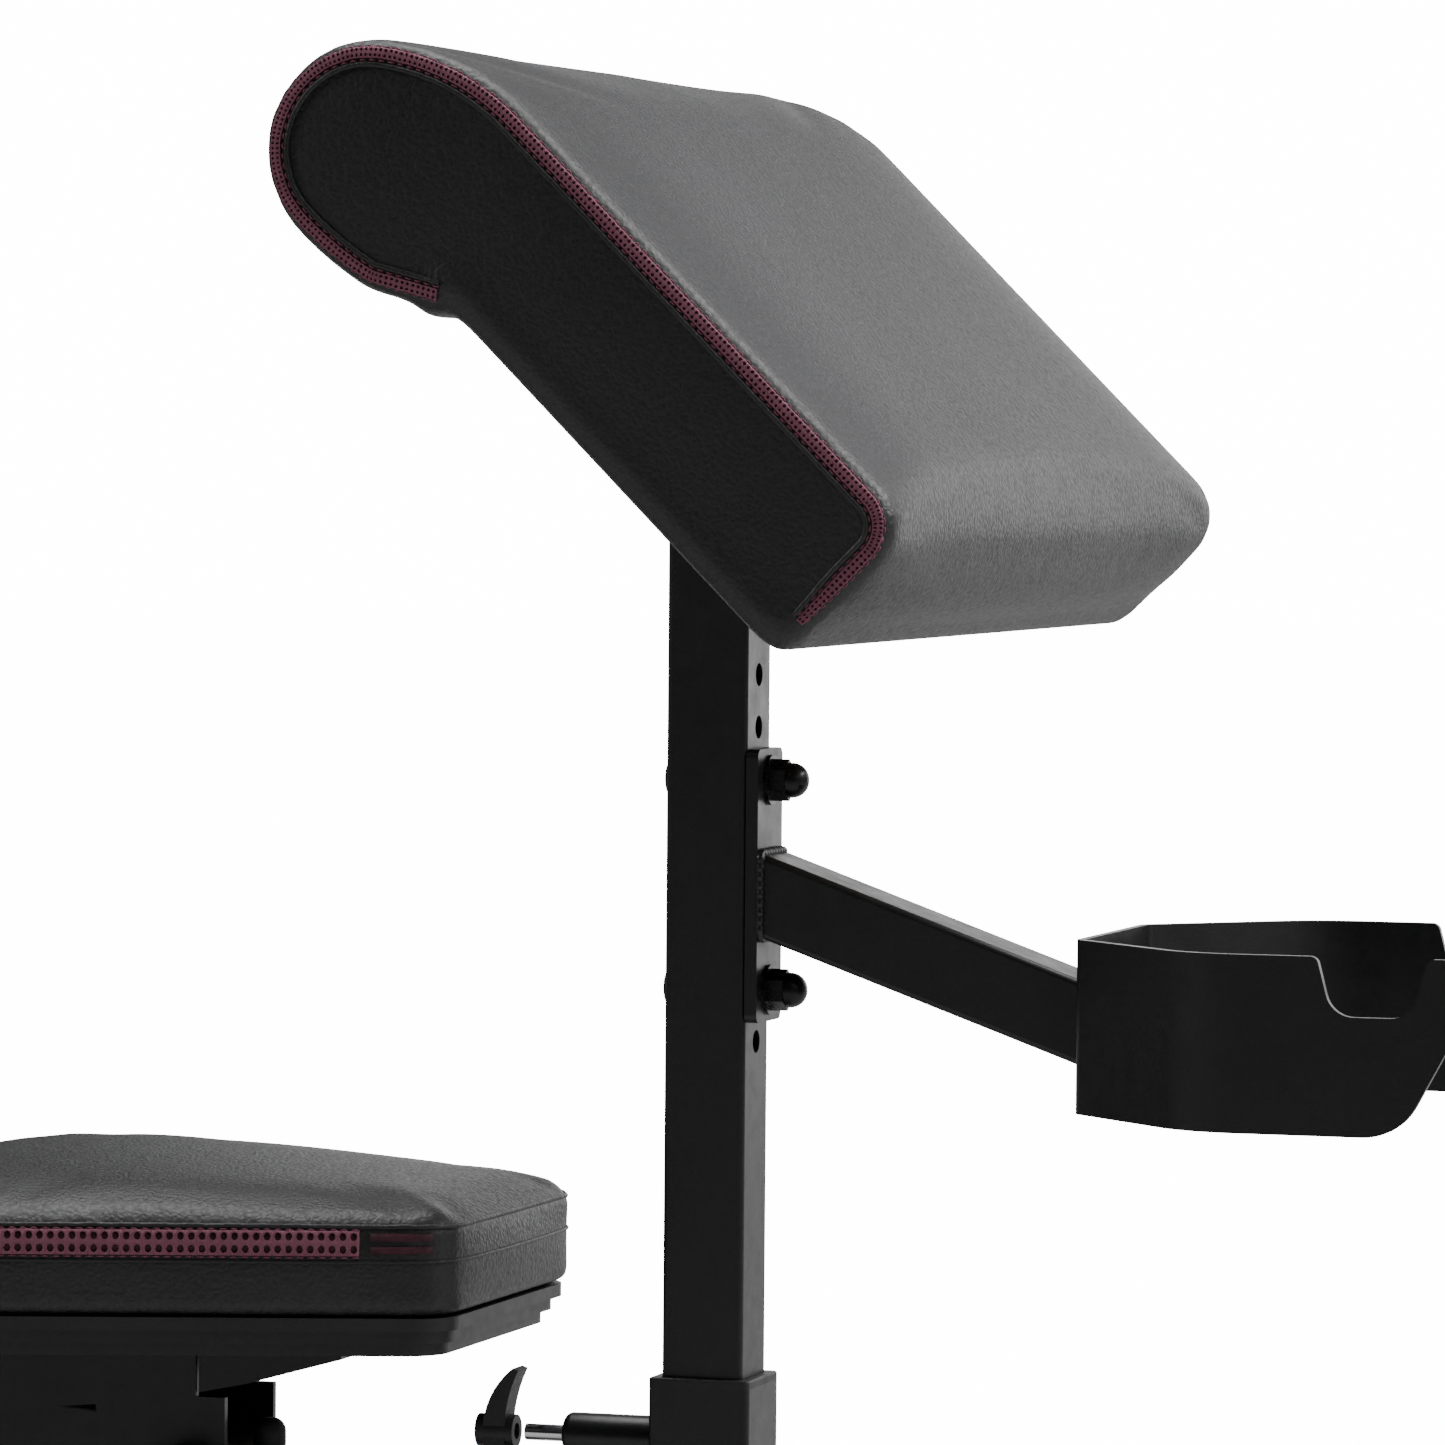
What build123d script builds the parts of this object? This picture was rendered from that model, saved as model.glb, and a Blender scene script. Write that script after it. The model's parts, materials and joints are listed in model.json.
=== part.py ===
"""Olympic weight bench with an adjustable backrest, a tilting seat, bar uprights and a preacher-curl station.

Frame: +X points to the foot end, +Y to the left upright, +Z up.
The origin is on the floor under the middle of the bench.  All sizes are millimetres.
"""

import os
from math import atan2, cos, radians, sin, sqrt

from build123d import *

# ---------------------------------------------------------------- driving dimensions
# Overall places
POST_X = 500.0  # centre line of the curl post, ahead of the origin
UPRIGHT_X = -610.0  # centre line of the two uprights
UPRIGHT_Y = 545.0  # half the distance between the uprights' centre lines
RECEIVER_TOP = 380.0
SPINE_TOP = 356.0
SEAT_BASE_Z = 392.5  # underside of the seat's shell

# Tubes
TUBE_CORNER = 3.0
FRAME_TUBE = 50.0
FRAME_WALL = 2.0
UPRIGHT_TUBE = 60.0
UPRIGHT_INNER = 50.0
POST_TUBE = 40.0
POST_WALL = 2.0
SLIDE_GAP = 0.4  # clearance on each side of a tube that slides in its bushing
HOLE_R = 5.5  # adjustment holes
PIN_R = 5.0  # sprung pins
SPRING_WIRE = 1.2

# Spine
SPINE_BEND_X = -340.0  # where the spine starts to bend down
SPINE_BEND_R = 250.0
SPINE_BEND = 30.0
BUMPER_X = -226.0
BUMPER_TOP = 349.0
BUMPER_R = 8.0

# Feet
FOOT_CAP_WALL = 4.0
FOOT_CAP_LENGTH = 60.0
FRONT_FOOT_LENGTH = 560.0
BASE_FRONT = 270.0  # how far a side base reaches ahead of its upright
BASE_REAR = 291.0

# Curl station
CURL_STEP = 25.0  # pitch of the curl post's adjustment holes
CURL_STEPS = 6
POST_BELOW = 300.0  # length of post inside the receiver
CURL_UNDER_Z = 466.7  # where the pad's 45 degree underside crosses the post's centre, above the receiver
CURL_PIN_DROP = 32.0
SPARE_HOLES_FROM = 160.0  # lowest of the upper holes, above the receiver's top
SPARE_HOLE_COUNT = 8
YOKE_BOLT_HOLES = (1, 5)
CURL_PAD_WIDTH = 600.0
CURL_PAD_THICK = 88.0
CURL_PAD_LENGTH = 346.5
CURL_PAD_FRONT = 168.5  # from the post's centre line down the slope to the pad's lower end
CURL_PAD_NOSE_R = 50.5
CURL_PAD_NOSE_RISE = 24.0  # from the pad's underside up to the nose's centre
CURL_PAD_SHOULDER_R = 115.0
CURL_PAD_HEEL_R = 170.0
CURL_PAD_HEEL_REACH = 44.5  # along the slope from the nose's centre to the end of its flat underside
CURL_PAD_THROAT = 79.5  # along the slope from the nose's centre to where it meets the flat underside
CURL_PAD_EDGE_R = 12.0
CURL_BOARD = 12.0
CURL_PLATE = 4.0

# Curl bar yoke
YOKE_PLATE_THICK = 6.0
YOKE_PLATE_HEIGHT = 130.0
YOKE_ARM_TUBE = 38.0
YOKE_ARM_START_Z = 231.0
YOKE_ARM_DROP = 19.6  # degrees
YOKE_BACK_X = 193.0  # back of the yoke, ahead of the post's centre
YOKE_SHEET = 4.0
YOKE_HEIGHT = 81.0
YOKE_BACK_WIDTH = 124.0
YOKE_WING = 100.0
YOKE_WING_ANGLE = 45.0
YOKE_TIP = 141.8
YOKE_TIP_LEAN = 44.0  # how much further the tips reach at their top than at their bottom
YOKE_BACK_BEND = 10.0
YOKE_WING_BEND = 55.0
YOKE_NOTCH_FROM = 59.5
YOKE_NOTCH_WIDTH = 51.0
YOKE_NOTCH_DEPTH = 27.0
YOKE_TOP_Z = 217.0

# Seat
SEAT_FRONT_X = -99.0  # from the post's centre
SEAT_LENGTH = 306.0
SEAT_FLARE = 235.0  # length over which the seat widens
SEAT_FRONT_WIDTH = 190.0
SEAT_REAR_WIDTH = 340.0
SEAT_SHELL = 19.0
SEAT_PAD_THICK = 46.0
SEAT_CROWN = 9.0
SEAT_HINGE_X = -392.0
SEAT_HINGE_Z = 366.0
SEAT_TILT = 15.0
SLOT_RADIUS = 141.5  # from the seat's hinge to its clamp stud
STUD_ANGLE = 20.0
KNOB_R = 20.0
CARRIAGE_BEND_X = -251.0
CARRIAGE_SHEET = 4.0
CARRIAGE_INNER = 63.0  # clear width between the carriage's walls

# Backrest
BACK_HINGE_X = -505.0
BACK_HINGE_Z = 376.0
BACK_PAD_AHEAD = 7.0
BACK_PAD_LENGTH = 720.0
BACK_PAD_WIDTH = 300.0
BACK_PAD_THICK = 62.0
BACK_BOARD = 12.0
RAIL_HEIGHT = 30.0
RAIL_WIDTH = 25.0
RAIL_INNER = 40.0  # half the clear width between the rails
PROP_REACH = 300.0  # backrest hinge to prop pivot, and prop pivot to foot rod
PROP_BAR = (20.0, 8.0)
PROP_ROD_R = 8.0
RAIL_LENGTH = 678.0
RACK_TEETH = 8
RACK_PITCH = 45.0

# Uprights
UPRIGHT_STEP = 50.0
UPRIGHT_STEPS = 6
UPRIGHT_TOP = 800.0
UPRIGHT_PIN_DROP = 45.0
INNER_TOP = 1150.0
INNER_BELOW = 420.0
CATCH_SHEET = 6.0
CATCH_WIDTH = 50.0
CATCH_MOUTH = 62.0
CATCH_FLOOR_Z = 1020.0

# Fits
AXLE_GAP = 0.05
SIDE_GAP = 0.5

WRITTEN = []
os.makedirs("parts", exist_ok=True)


def save(part, name):
    """Label a finished piece and write it to its own file."""
    part.label = name
    export_step(part, f"parts/{name}.step")
    WRITTEN.append(name)


def tube(plane, width, height, wall, length):
    """A rectangular tube that starts on the plane and runs along its normal."""
    with BuildPart() as body:
        with BuildSketch(plane):
            RectangleRounded(width, height, TUBE_CORNER)
            inner_corner = max(TUBE_CORNER - wall, 0.5)
            RectangleRounded(width - 2 * wall, height - 2 * wall, inner_corner, mode=Mode.SUBTRACT)
        extrude(amount=length)
    return body.part


def rod(plane, radius, length):
    """A round bar that starts on the plane and runs along its normal."""
    with BuildPart() as body:
        with BuildSketch(plane):
            Circle(radius)
        extrude(amount=length)
    return body.part


def box(low, high):
    """A plain block between two corners."""
    size = [b - a for a, b in zip(low, high)]
    middle = [(a + b) / 2 for a, b in zip(low, high)]
    return Pos(*middle) * Box(*size)


def bolt(plane, shank_r, length, head_r, head_height, washer=True):
    """A domed bolt: its shank starts on the plane and runs along the normal, its head is behind the plane."""
    with BuildPart() as body:
        with BuildSketch(plane):
            Circle(shank_r)
        extrude(amount=length)
        with BuildSketch(plane):
            Circle(head_r)
        extrude(amount=-head_height)
        rim = body.faces().sort_by(Axis(plane.origin, plane.z_dir))[0].edges()
        fillet(rim, head_height * 0.8)
        if washer:
            with BuildSketch(plane):
                Circle(head_r + 2)
            extrude(amount=-1.2)
    return body.part


def cap_nut(plane, bore_r, across_r, height):
    """A domed cap nut with its washer: the seat is on the plane and the dome along the normal."""
    with BuildPart() as body:
        with BuildSketch(plane):
            Circle(across_r + 2)
        extrude(amount=1.6)
        with BuildSketch(plane):
            RegularPolygon(across_r, 6)
        extrude(amount=height * 0.5)
        with BuildSketch(plane):
            Circle(across_r * 0.84)
        extrude(amount=height)
        crown = body.faces().sort_by(Axis(plane.origin, plane.z_dir))[-1].edges()
        fillet(crown, height * 0.42)
        with BuildSketch(plane):
            Circle(bore_r)
        extrude(amount=height * 0.6, mode=Mode.SUBTRACT)
    return body.part


def on_circle(centre, radius, angle):
    """The point of a circle at an angle in degrees."""
    return (centre[0] + radius * cos(radians(angle)), centre[1] + radius * sin(radians(angle)))


def facing(origin, direction, x_dir=None):
    """A plane at a point that faces a direction."""
    return Plane(origin=origin, z_dir=direction, x_dir=x_dir)


# ---------------------------------------------------------------- places worked out from the driving sizes
FRONT_FOOT_Z = FOOT_CAP_WALL + FRAME_TUBE / 2
BASE_Z = FOOT_CAP_WALL + UPRIGHT_TUBE / 2
BASE_TOP = FOOT_CAP_WALL + UPRIGHT_TUBE
SPINE_Z = SPINE_TOP - FRAME_TUBE / 2
FLANGE = 5.0
HALF_FRAME = FRAME_TUBE / 2
HALF_POST = POST_TUBE / 2
HALF_UPRIGHT = UPRIGHT_TUBE / 2
HALF_INNER = UPRIGHT_INNER / 2
CROSS_HALF = UPRIGHT_Y - HALF_UPRIGHT - FLANGE
CURL_PIN_Z = RECEIVER_TOP - CURL_PIN_DROP
UPRIGHT_PIN_Z = UPRIGHT_TOP - UPRIGHT_PIN_DROP
RIM = 4.0  # flange of a bushing, on top of its tube
SIDES = {"left": 1, "right": -1}
BACK = Vector(-1, 0, 0)
FRONT = Vector(1, 0, 0)
SIDEWAYS = Vector(0, 1, 0)


# ---------------------------------------------------------------- feet and bases
def end_cap(plane, size, length):
    """A rubber cap that sleeves a square tube's end; the plane's normal points into the tube."""
    with BuildPart() as cap:
        with BuildSketch(plane):
            RectangleRounded(size + 2 * FOOT_CAP_WALL, size + 2 * FOOT_CAP_WALL, TUBE_CORNER + 3)
            RectangleRounded(size, size, TUBE_CORNER, mode=Mode.SUBTRACT)
        extrude(amount=length)
        with BuildSketch(plane):
            RectangleRounded(size + 2 * FOOT_CAP_WALL, size + 2 * FOOT_CAP_WALL, TUBE_CORNER + 3)
        extrude(amount=-FOOT_CAP_WALL)
    return cap.part


foot_start = facing((POST_X, -FRONT_FOOT_LENGTH / 2, FRONT_FOOT_Z), (0, 1, 0), (1, 0, 0))
foot_end = facing((POST_X, FRONT_FOOT_LENGTH / 2, FRONT_FOOT_Z), (0, -1, 0), (1, 0, 0))
with BuildPart() as front_foot:
    add(tube(foot_start, FRAME_TUBE, FRAME_TUBE, FRAME_WALL, FRONT_FOOT_LENGTH))
save(front_foot.part, "front_foot")

cap_list = [end_cap(plane, FRAME_TUBE, FOOT_CAP_LENGTH) for plane in (foot_start, foot_end)]
for side, sign in SIDES.items():
    base_rear = facing((UPRIGHT_X - BASE_REAR, sign * UPRIGHT_Y, BASE_Z), (1, 0, 0), (0, 1, 0))
    base_front = facing((UPRIGHT_X + BASE_FRONT, sign * UPRIGHT_Y, BASE_Z), (-1, 0, 0), (0, 1, 0))
    with BuildPart() as base:
        add(tube(base_rear, UPRIGHT_TUBE, UPRIGHT_TUBE, FRAME_WALL, BASE_FRONT + BASE_REAR))
    save(base.part, f"{side}_base")
    cap_list += [end_cap(plane, UPRIGHT_TUBE, FOOT_CAP_LENGTH) for plane in (base_rear, base_front)]
save(Compound(children=cap_list), "foot_caps")

TIE_X = UPRIGHT_X - BASE_REAR + FOOT_CAP_LENGTH + HALF_FRAME + 20
with BuildPart() as rear_tie:
    tie_half = UPRIGHT_Y - HALF_UPRIGHT
    add(tube(facing((TIE_X, -tie_half, BASE_Z), (0, 1, 0), (1, 0, 0)), FRAME_TUBE, FRAME_TUBE, FRAME_WALL,
             2 * tie_half))
save(rear_tie.part, "rear_tie")

# ---------------------------------------------------------------- receiver, bushings and the curl post
RECEIVER_BACK = facing((POST_X - HALF_FRAME, 0, CURL_PIN_Z), BACK, SIDEWAYS)
RECEIVER_BASE = FOOT_CAP_WALL + FRAME_TUBE
with BuildPart() as receiver:
    add(tube(Plane((POST_X, 0, RECEIVER_BASE)), FRAME_TUBE, FRAME_TUBE, FRAME_WALL,
             RECEIVER_TOP - RIM - RECEIVER_BASE))
    with BuildSketch(RECEIVER_BACK):
        Circle(PIN_R + AXLE_GAP)
    extrude(amount=-FRAME_WALL - 1, mode=Mode.SUBTRACT)
save(receiver.part, "receiver")


def bushing(x, y, top, outer, inner, length, pin_wall):
    """A plastic guide: it lines a tube's mouth, and its rim covers the tube's end."""
    lining = outer - 2 * FRAME_WALL
    with BuildPart() as guide:
        with BuildSketch(Plane((x, y, top))):
            RectangleRounded(outer, outer, TUBE_CORNER)
        extrude(amount=-RIM)
        fillet(guide.faces().sort_by(Axis.Z)[-1].edges(), 1.2)
        with BuildSketch(Plane((x, y, top - RIM))):
            RectangleRounded(lining, lining, TUBE_CORNER - FRAME_WALL)
        extrude(amount=-length)
        with BuildSketch(Plane((x, y, top))):
            mouth = inner + 2 * SLIDE_GAP
            RectangleRounded(mouth, mouth, TUBE_CORNER + SLIDE_GAP)
        extrude(amount=-length - RIM, mode=Mode.SUBTRACT)
        with BuildSketch(pin_wall):
            Circle(PIN_R + SIDE_GAP)
        extrude(amount=-outer / 2, mode=Mode.SUBTRACT)
    return guide.part


BUSHING_LENGTH = 90.0
upright_walls = {
    side: facing((UPRIGHT_X + HALF_UPRIGHT, sign * UPRIGHT_Y, UPRIGHT_PIN_Z), FRONT, SIDEWAYS)
    for side, sign in SIDES.items()
}
bushings = [bushing(POST_X, 0, RECEIVER_TOP, FRAME_TUBE, POST_TUBE, BUSHING_LENGTH, RECEIVER_BACK)]
for side, sign in SIDES.items():
    place = (UPRIGHT_X, sign * UPRIGHT_Y, UPRIGHT_TOP)
    bushings.append(bushing(*place, UPRIGHT_TUBE, UPRIGHT_INNER, BUSHING_LENGTH, upright_walls[side]))
save(Compound(children=bushings), "tube_bushings")

POST_BOTTOM = RECEIVER_TOP - POST_BELOW
PAD_UNDER = RECEIVER_TOP + CURL_UNDER_Z
pad_plane = Plane(origin=(POST_X, 0, PAD_UNDER), x_dir=(1, 0, -1), z_dir=(1, 0, 1))
side_plane = Plane(origin=(POST_X, 0, PAD_UNDER), x_dir=(1, 0, -1), z_dir=(0, -1, 0))
upper_holes = [RECEIVER_TOP + SPARE_HOLES_FROM + CURL_STEP * i for i in range(SPARE_HOLE_COUNT)]
with BuildPart() as curl_post:
    add(tube(Plane((POST_X, 0, POST_BOTTOM)), POST_TUBE, POST_TUBE, POST_WALL,
             PAD_UNDER - POST_BOTTOM + POST_TUBE))
    split(bisect_by=pad_plane.offset(-CURL_PLATE), keep=Keep.BOTTOM)
    for z in upper_holes:
        with BuildSketch(facing((POST_X - POST_TUBE, 0, z), FRONT, SIDEWAYS)):
            Circle(HOLE_R)
        extrude(amount=2 * POST_TUBE, mode=Mode.SUBTRACT)
    for i in range(CURL_STEPS + 1):
        with BuildSketch(facing((POST_X - POST_TUBE, 0, CURL_PIN_Z - CURL_STEP * i), FRONT, SIDEWAYS)):
            Circle(HOLE_R)
        extrude(amount=POST_TUBE, mode=Mode.SUBTRACT)
save(curl_post.part, "curl_post")

# ---------------------------------------------------------------- curl pad
BOARD_LENGTH = 170.0
BOARD_START = -28.0
PLATE_HALF = (60.0, 95.0)
SCREW_R = 3.0
SCREW_HEAD_R = 6.5
pad_screws = [(x, y) for x in (-1, 1) for y in (-1, 1)]


def pad_profile():
    """The curl pad's side outline: a flat slope that rolls over a shoulder into a hanging nose."""
    nose_s = CURL_PAD_FRONT - CURL_PAD_LENGTH + CURL_PAD_NOSE_R
    nose = (nose_s, CURL_PAD_NOSE_RISE)
    shoulder_t = CURL_PAD_THICK - CURL_PAD_SHOULDER_R
    apart = CURL_PAD_SHOULDER_R - CURL_PAD_NOSE_R
    shoulder_s = nose_s + sqrt(apart**2 - (CURL_PAD_NOSE_RISE - shoulder_t) ** 2)
    lean = ((nose_s - shoulder_s) / apart, (CURL_PAD_NOSE_RISE - shoulder_t) / apart)
    join = (nose_s + CURL_PAD_NOSE_R * lean[0], CURL_PAD_NOSE_RISE + CURL_PAD_NOSE_R * lean[1])
    half_lean = atan2(lean[0], lean[1]) / 2
    halfway = (
        shoulder_s + CURL_PAD_SHOULDER_R * sin(half_lean),
        shoulder_t + CURL_PAD_SHOULDER_R * cos(half_lean),
    )
    nose_bottom = (nose_s, CURL_PAD_NOSE_RISE - CURL_PAD_NOSE_R)
    heel_centre_t = nose_bottom[1] + CURL_PAD_HEEL_R
    heel_end, heel_mid = [
        (nose_s + reach, heel_centre_t - sqrt(CURL_PAD_HEEL_R**2 - reach**2))
        for reach in (CURL_PAD_HEEL_REACH, CURL_PAD_HEEL_REACH / 2)
    ]
    throat = (nose_s + CURL_PAD_THROAT, 0)
    with BuildSketch() as outline:
        with BuildLine():
            ThreePointArc((shoulder_s, CURL_PAD_THICK), halfway, join)
            ThreePointArc(join, (nose[0] - CURL_PAD_NOSE_R, nose[1]), nose_bottom)
            ThreePointArc(nose_bottom, heel_mid, heel_end)
            Polyline(
                heel_end, throat, (CURL_PAD_FRONT, 0), (CURL_PAD_FRONT, CURL_PAD_THICK),
                (shoulder_s, CURL_PAD_THICK),
            )
        make_face()
        for corner, radius in ((heel_end, 20), (throat, 24), ((CURL_PAD_FRONT, CURL_PAD_THICK), 24),
                               ((CURL_PAD_FRONT, 0), 16)):
            fillet(outline.vertices().sort_by_distance(corner)[0], radius)
    return outline.sketch


profile = pad_profile()
with BuildPart() as curl_pad:
    with BuildSketch(side_plane.offset(-CURL_PAD_WIDTH / 2)):
        add(profile)
    extrude(amount=CURL_PAD_WIDTH)
    ends = curl_pad.faces().filter_by(Axis.Y)
    fillet(ends.edges(), CURL_PAD_EDGE_R)
    with BuildSketch(pad_plane):
        with Locations((BOARD_START + BOARD_LENGTH / 2, 0)):
            Rectangle(BOARD_LENGTH, CURL_PAD_WIDTH - 80)
    extrude(amount=CURL_BOARD, mode=Mode.SUBTRACT)
save(curl_pad.part, "curl_pad")

with BuildPart() as curl_board:
    with BuildSketch(pad_plane):
        with Locations((BOARD_START + BOARD_LENGTH / 2, 0)):
            Rectangle(BOARD_LENGTH, CURL_PAD_WIDTH - 80)
    extrude(amount=CURL_BOARD)
    for x, y in pad_screws:
        with BuildSketch(pad_plane):
            with Locations((30 + 30 * x, 75 * y)):
                Circle(SCREW_R)
        extrude(amount=CURL_BOARD - 2, mode=Mode.SUBTRACT)
save(curl_board.part, "curl_pad_board")

with BuildPart() as pad_plate:
    with BuildSketch(pad_plane):
        with Locations((30, 0)):
            RectangleRounded(2 * PLATE_HALF[0], 2 * PLATE_HALF[1], 8)
    extrude(amount=-CURL_PLATE)
    for x, y in pad_screws:
        with BuildSketch(pad_plane):
            with Locations((30 + 30 * x, 75 * y)):
                Circle(SCREW_R)
        extrude(amount=-CURL_PLATE, mode=Mode.SUBTRACT)
save(pad_plate.part, "curl_pad_plate")

screws = []
for x, y in pad_screws:
    seat = pad_plane.offset(-CURL_PLATE)
    spot = seat.from_local_coords((30 + 30 * x, 75 * y, 0))
    length = CURL_PLATE + CURL_BOARD - 3
    screws.append(bolt(facing(spot, seat.z_dir), SCREW_R, length, SCREW_HEAD_R, 4, False))
save(Compound(children=screws), "curl_pad_screws")

# ---------------------------------------------------------------- curl bar yoke
YOKE_BOLT_R = 5.0
bolt_heights = [upper_holes[i] for i in YOKE_BOLT_HOLES]
plate_front = POST_X + HALF_POST + YOKE_PLATE_THICK
with BuildPart() as yoke_plate:
    with BuildSketch(facing((POST_X + HALF_POST, 0, sum(bolt_heights) / 2), FRONT, SIDEWAYS)):
        RectangleRounded(POST_TUBE, YOKE_PLATE_HEIGHT, 4)
    extrude(amount=YOKE_PLATE_THICK)
    for z in bolt_heights:
        with BuildSketch(facing((POST_X, 0, z), FRONT, SIDEWAYS)):
            Circle(HOLE_R)
        extrude(amount=POST_TUBE, mode=Mode.SUBTRACT)
save(yoke_plate.part, "yoke_plate")

arm_run = YOKE_BACK_X - HALF_POST - YOKE_PLATE_THICK
arm_slope = radians(YOKE_ARM_DROP)
arm_start = (plate_front, RECEIVER_TOP + YOKE_ARM_START_Z)
arm_end = (POST_X + YOKE_BACK_X, arm_start[1] - arm_run * sin(arm_slope) / cos(arm_slope))


def arm_outline(size):
    """The arm's side view, a parallelogram of upright ends."""
    rise = size / 2 / cos(arm_slope)
    return [
        (arm_start[0], arm_start[1] - rise),
        (arm_end[0], arm_end[1] - rise),
        (arm_end[0], arm_end[1] + rise),
        (arm_start[0], arm_start[1] + rise),
    ]


XZ_OUT = Plane(origin=(0, 0, 0), x_dir=(1, 0, 0), z_dir=(0, -1, 0))


def slab(points, y_from, y_to, corners=0.0):
    """A plate whose outline is drawn in the X-Z plane, between two Y planes."""
    with BuildPart() as plate:
        with BuildSketch(XZ_OUT.offset(-y_to)):
            Polygon(*points, align=None)
        extrude(amount=y_to - y_from)
        if corners:
            fillet(plate.edges().filter_by(Axis.Y), corners)
    return plate.part


with BuildPart() as yoke_arm:
    half_arm = YOKE_ARM_TUBE / 2
    add(slab(arm_outline(YOKE_ARM_TUBE), -half_arm, half_arm))
    long_edges = yoke_arm.edges().filter_by(
        lambda e: abs(e.length - arm_run / cos(arm_slope)) < 0.01
    )
    fillet(long_edges, TUBE_CORNER)
    bore = YOKE_ARM_TUBE - 2 * POST_WALL
    add(slab(arm_outline(bore), -bore / 2, bore / 2), mode=Mode.SUBTRACT)
save(yoke_arm.part, "yoke_arm")

wing_run = YOKE_WING * sin(radians(YOKE_WING_ANGLE))
wing_out = YOKE_WING * cos(radians(YOKE_WING_ANGLE))
yoke_back = POST_X + YOKE_BACK_X
tip_start = yoke_back + wing_run
tip_end = tip_start + YOKE_TIP
half_back = YOKE_BACK_WIDTH / 2
tip_y = half_back + wing_out
yoke_top = RECEIVER_TOP + YOKE_TOP_Z
with BuildPart() as yoke:
    with BuildSketch(Plane((0, 0, yoke_top - YOKE_HEIGHT))):
        with BuildLine() as fold:
            Polyline(
                (tip_end, tip_y), (tip_start, tip_y), (yoke_back, half_back),
                (yoke_back, -half_back), (tip_start, -tip_y), (tip_end, -tip_y),
            )
            fillet(fold.vertices().filter_by(lambda v: v.X < yoke_back + 1), YOKE_BACK_BEND)
            wing_folds = fold.vertices().filter_by(lambda v: abs(v.X - tip_start) < 1)
            fillet(wing_folds, YOKE_WING_BEND)
            offset(amount=YOKE_SHEET, side=Side.LEFT, closed=True)
        make_face()
    extrude(amount=YOKE_HEIGHT)
    notch = tip_start + YOKE_NOTCH_FROM
    with BuildSketch(XZ_OUT.offset(-tip_y - 20)):
        with BuildLine():
            slope = 7.0
            Polyline(
                (notch - 1, yoke_top + 5), (notch, yoke_top), (notch + slope, yoke_top - YOKE_NOTCH_DEPTH),
                (notch + YOKE_NOTCH_WIDTH - slope, yoke_top - YOKE_NOTCH_DEPTH),
                (notch + YOKE_NOTCH_WIDTH, yoke_top), (notch + YOKE_NOTCH_WIDTH + 1, yoke_top + 5),
                close=True,
            )
        make_face()
    extrude(amount=2 * tip_y + 40, mode=Mode.SUBTRACT)
    cradle_edges = yoke.edges().filter_by(Axis.Y).filter_by_position(
        Axis.Z, yoke_top - YOKE_NOTCH_DEPTH - 0.1, yoke_top - YOKE_NOTCH_DEPTH + 0.1
    )
    fillet(cradle_edges, 13)
    mouth_edges = yoke.edges().filter_by(Axis.Y).filter_by_position(Axis.Z, yoke_top - 0.1, yoke_top + 0.1)
    fillet(mouth_edges.filter_by_position(Axis.X, tip_start + 20, tip_end + 1), 4)
    yoke_bottom = yoke_top - YOKE_HEIGHT
    with BuildSketch(XZ_OUT.offset(-tip_y - 20)):
        with BuildLine():
            Polyline(
                (tip_end, yoke_top), (tip_end + YOKE_TIP_LEAN, yoke_bottom - 5),
                (tip_end - YOKE_TIP_LEAN, yoke_bottom - 5), (tip_end - YOKE_TIP_LEAN, yoke_bottom),
                close=True,
            )
        make_face()
    extrude(amount=2 * tip_y + 40, mode=Mode.SUBTRACT)
    heel = yoke.edges().filter_by(Axis.Y).filter_by_position(
        Axis.Z, yoke_bottom - 0.1, yoke_bottom + 0.1
    ).filter_by_position(Axis.X, tip_end - YOKE_TIP_LEAN - 0.1, tip_end)
    fillet(heel, 28)
save(yoke.part, "yoke")

bolts = []
nuts = []
for z in bolt_heights:
    through = POST_TUBE + YOKE_PLATE_THICK + 8
    bolts.append(bolt(facing((POST_X - HALF_POST, 0, z), FRONT), YOKE_BOLT_R, through, 10, 4.5, False))
    nuts.append(cap_nut(facing((plate_front, 0, z), FRONT), YOKE_BOLT_R, 10, 19))
save(Compound(children=bolts), "yoke_bolts")
save(Compound(children=nuts), "yoke_nuts")


# ---------------------------------------------------------------- sprung pull pins
HOUSING_R = 10.5
HOUSING_LENGTH = 49.0
HOUSING_BORE = 7.5
HOUSING_END = 4.0
ROD_R = 4.0
COLLAR = (4.0, 8.0)
HANDLE_GAP = 11.0
BOSS_R = 8.0
BOSS_LENGTH = 18.0
HANDLE_HALF = 31.0
HANDLE_DEPTH = 11.0
HANDLE_SWEEP = 15.0
HANDLE_WIDTH = 15.0


def pin_housing(wall):
    """The barrel that a pull pin slides in, welded over the hole in the tube's wall."""
    with BuildPart() as barrel:
        with BuildSketch(wall):
            Circle(HOUSING_R)
        extrude(amount=HOUSING_LENGTH)
        rim = barrel.faces().sort_by(Axis(wall.origin, wall.z_dir))[-1].edges()
        fillet(rim, 4)
        with BuildSketch(wall):
            Circle(HOUSING_BORE)
        extrude(amount=HOUSING_LENGTH - HOUSING_END, mode=Mode.SUBTRACT)
        with BuildSketch(wall):
            Circle(ROD_R + AXLE_GAP)
        extrude(amount=HOUSING_LENGTH + 1, mode=Mode.SUBTRACT)
    return barrel.part


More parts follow.
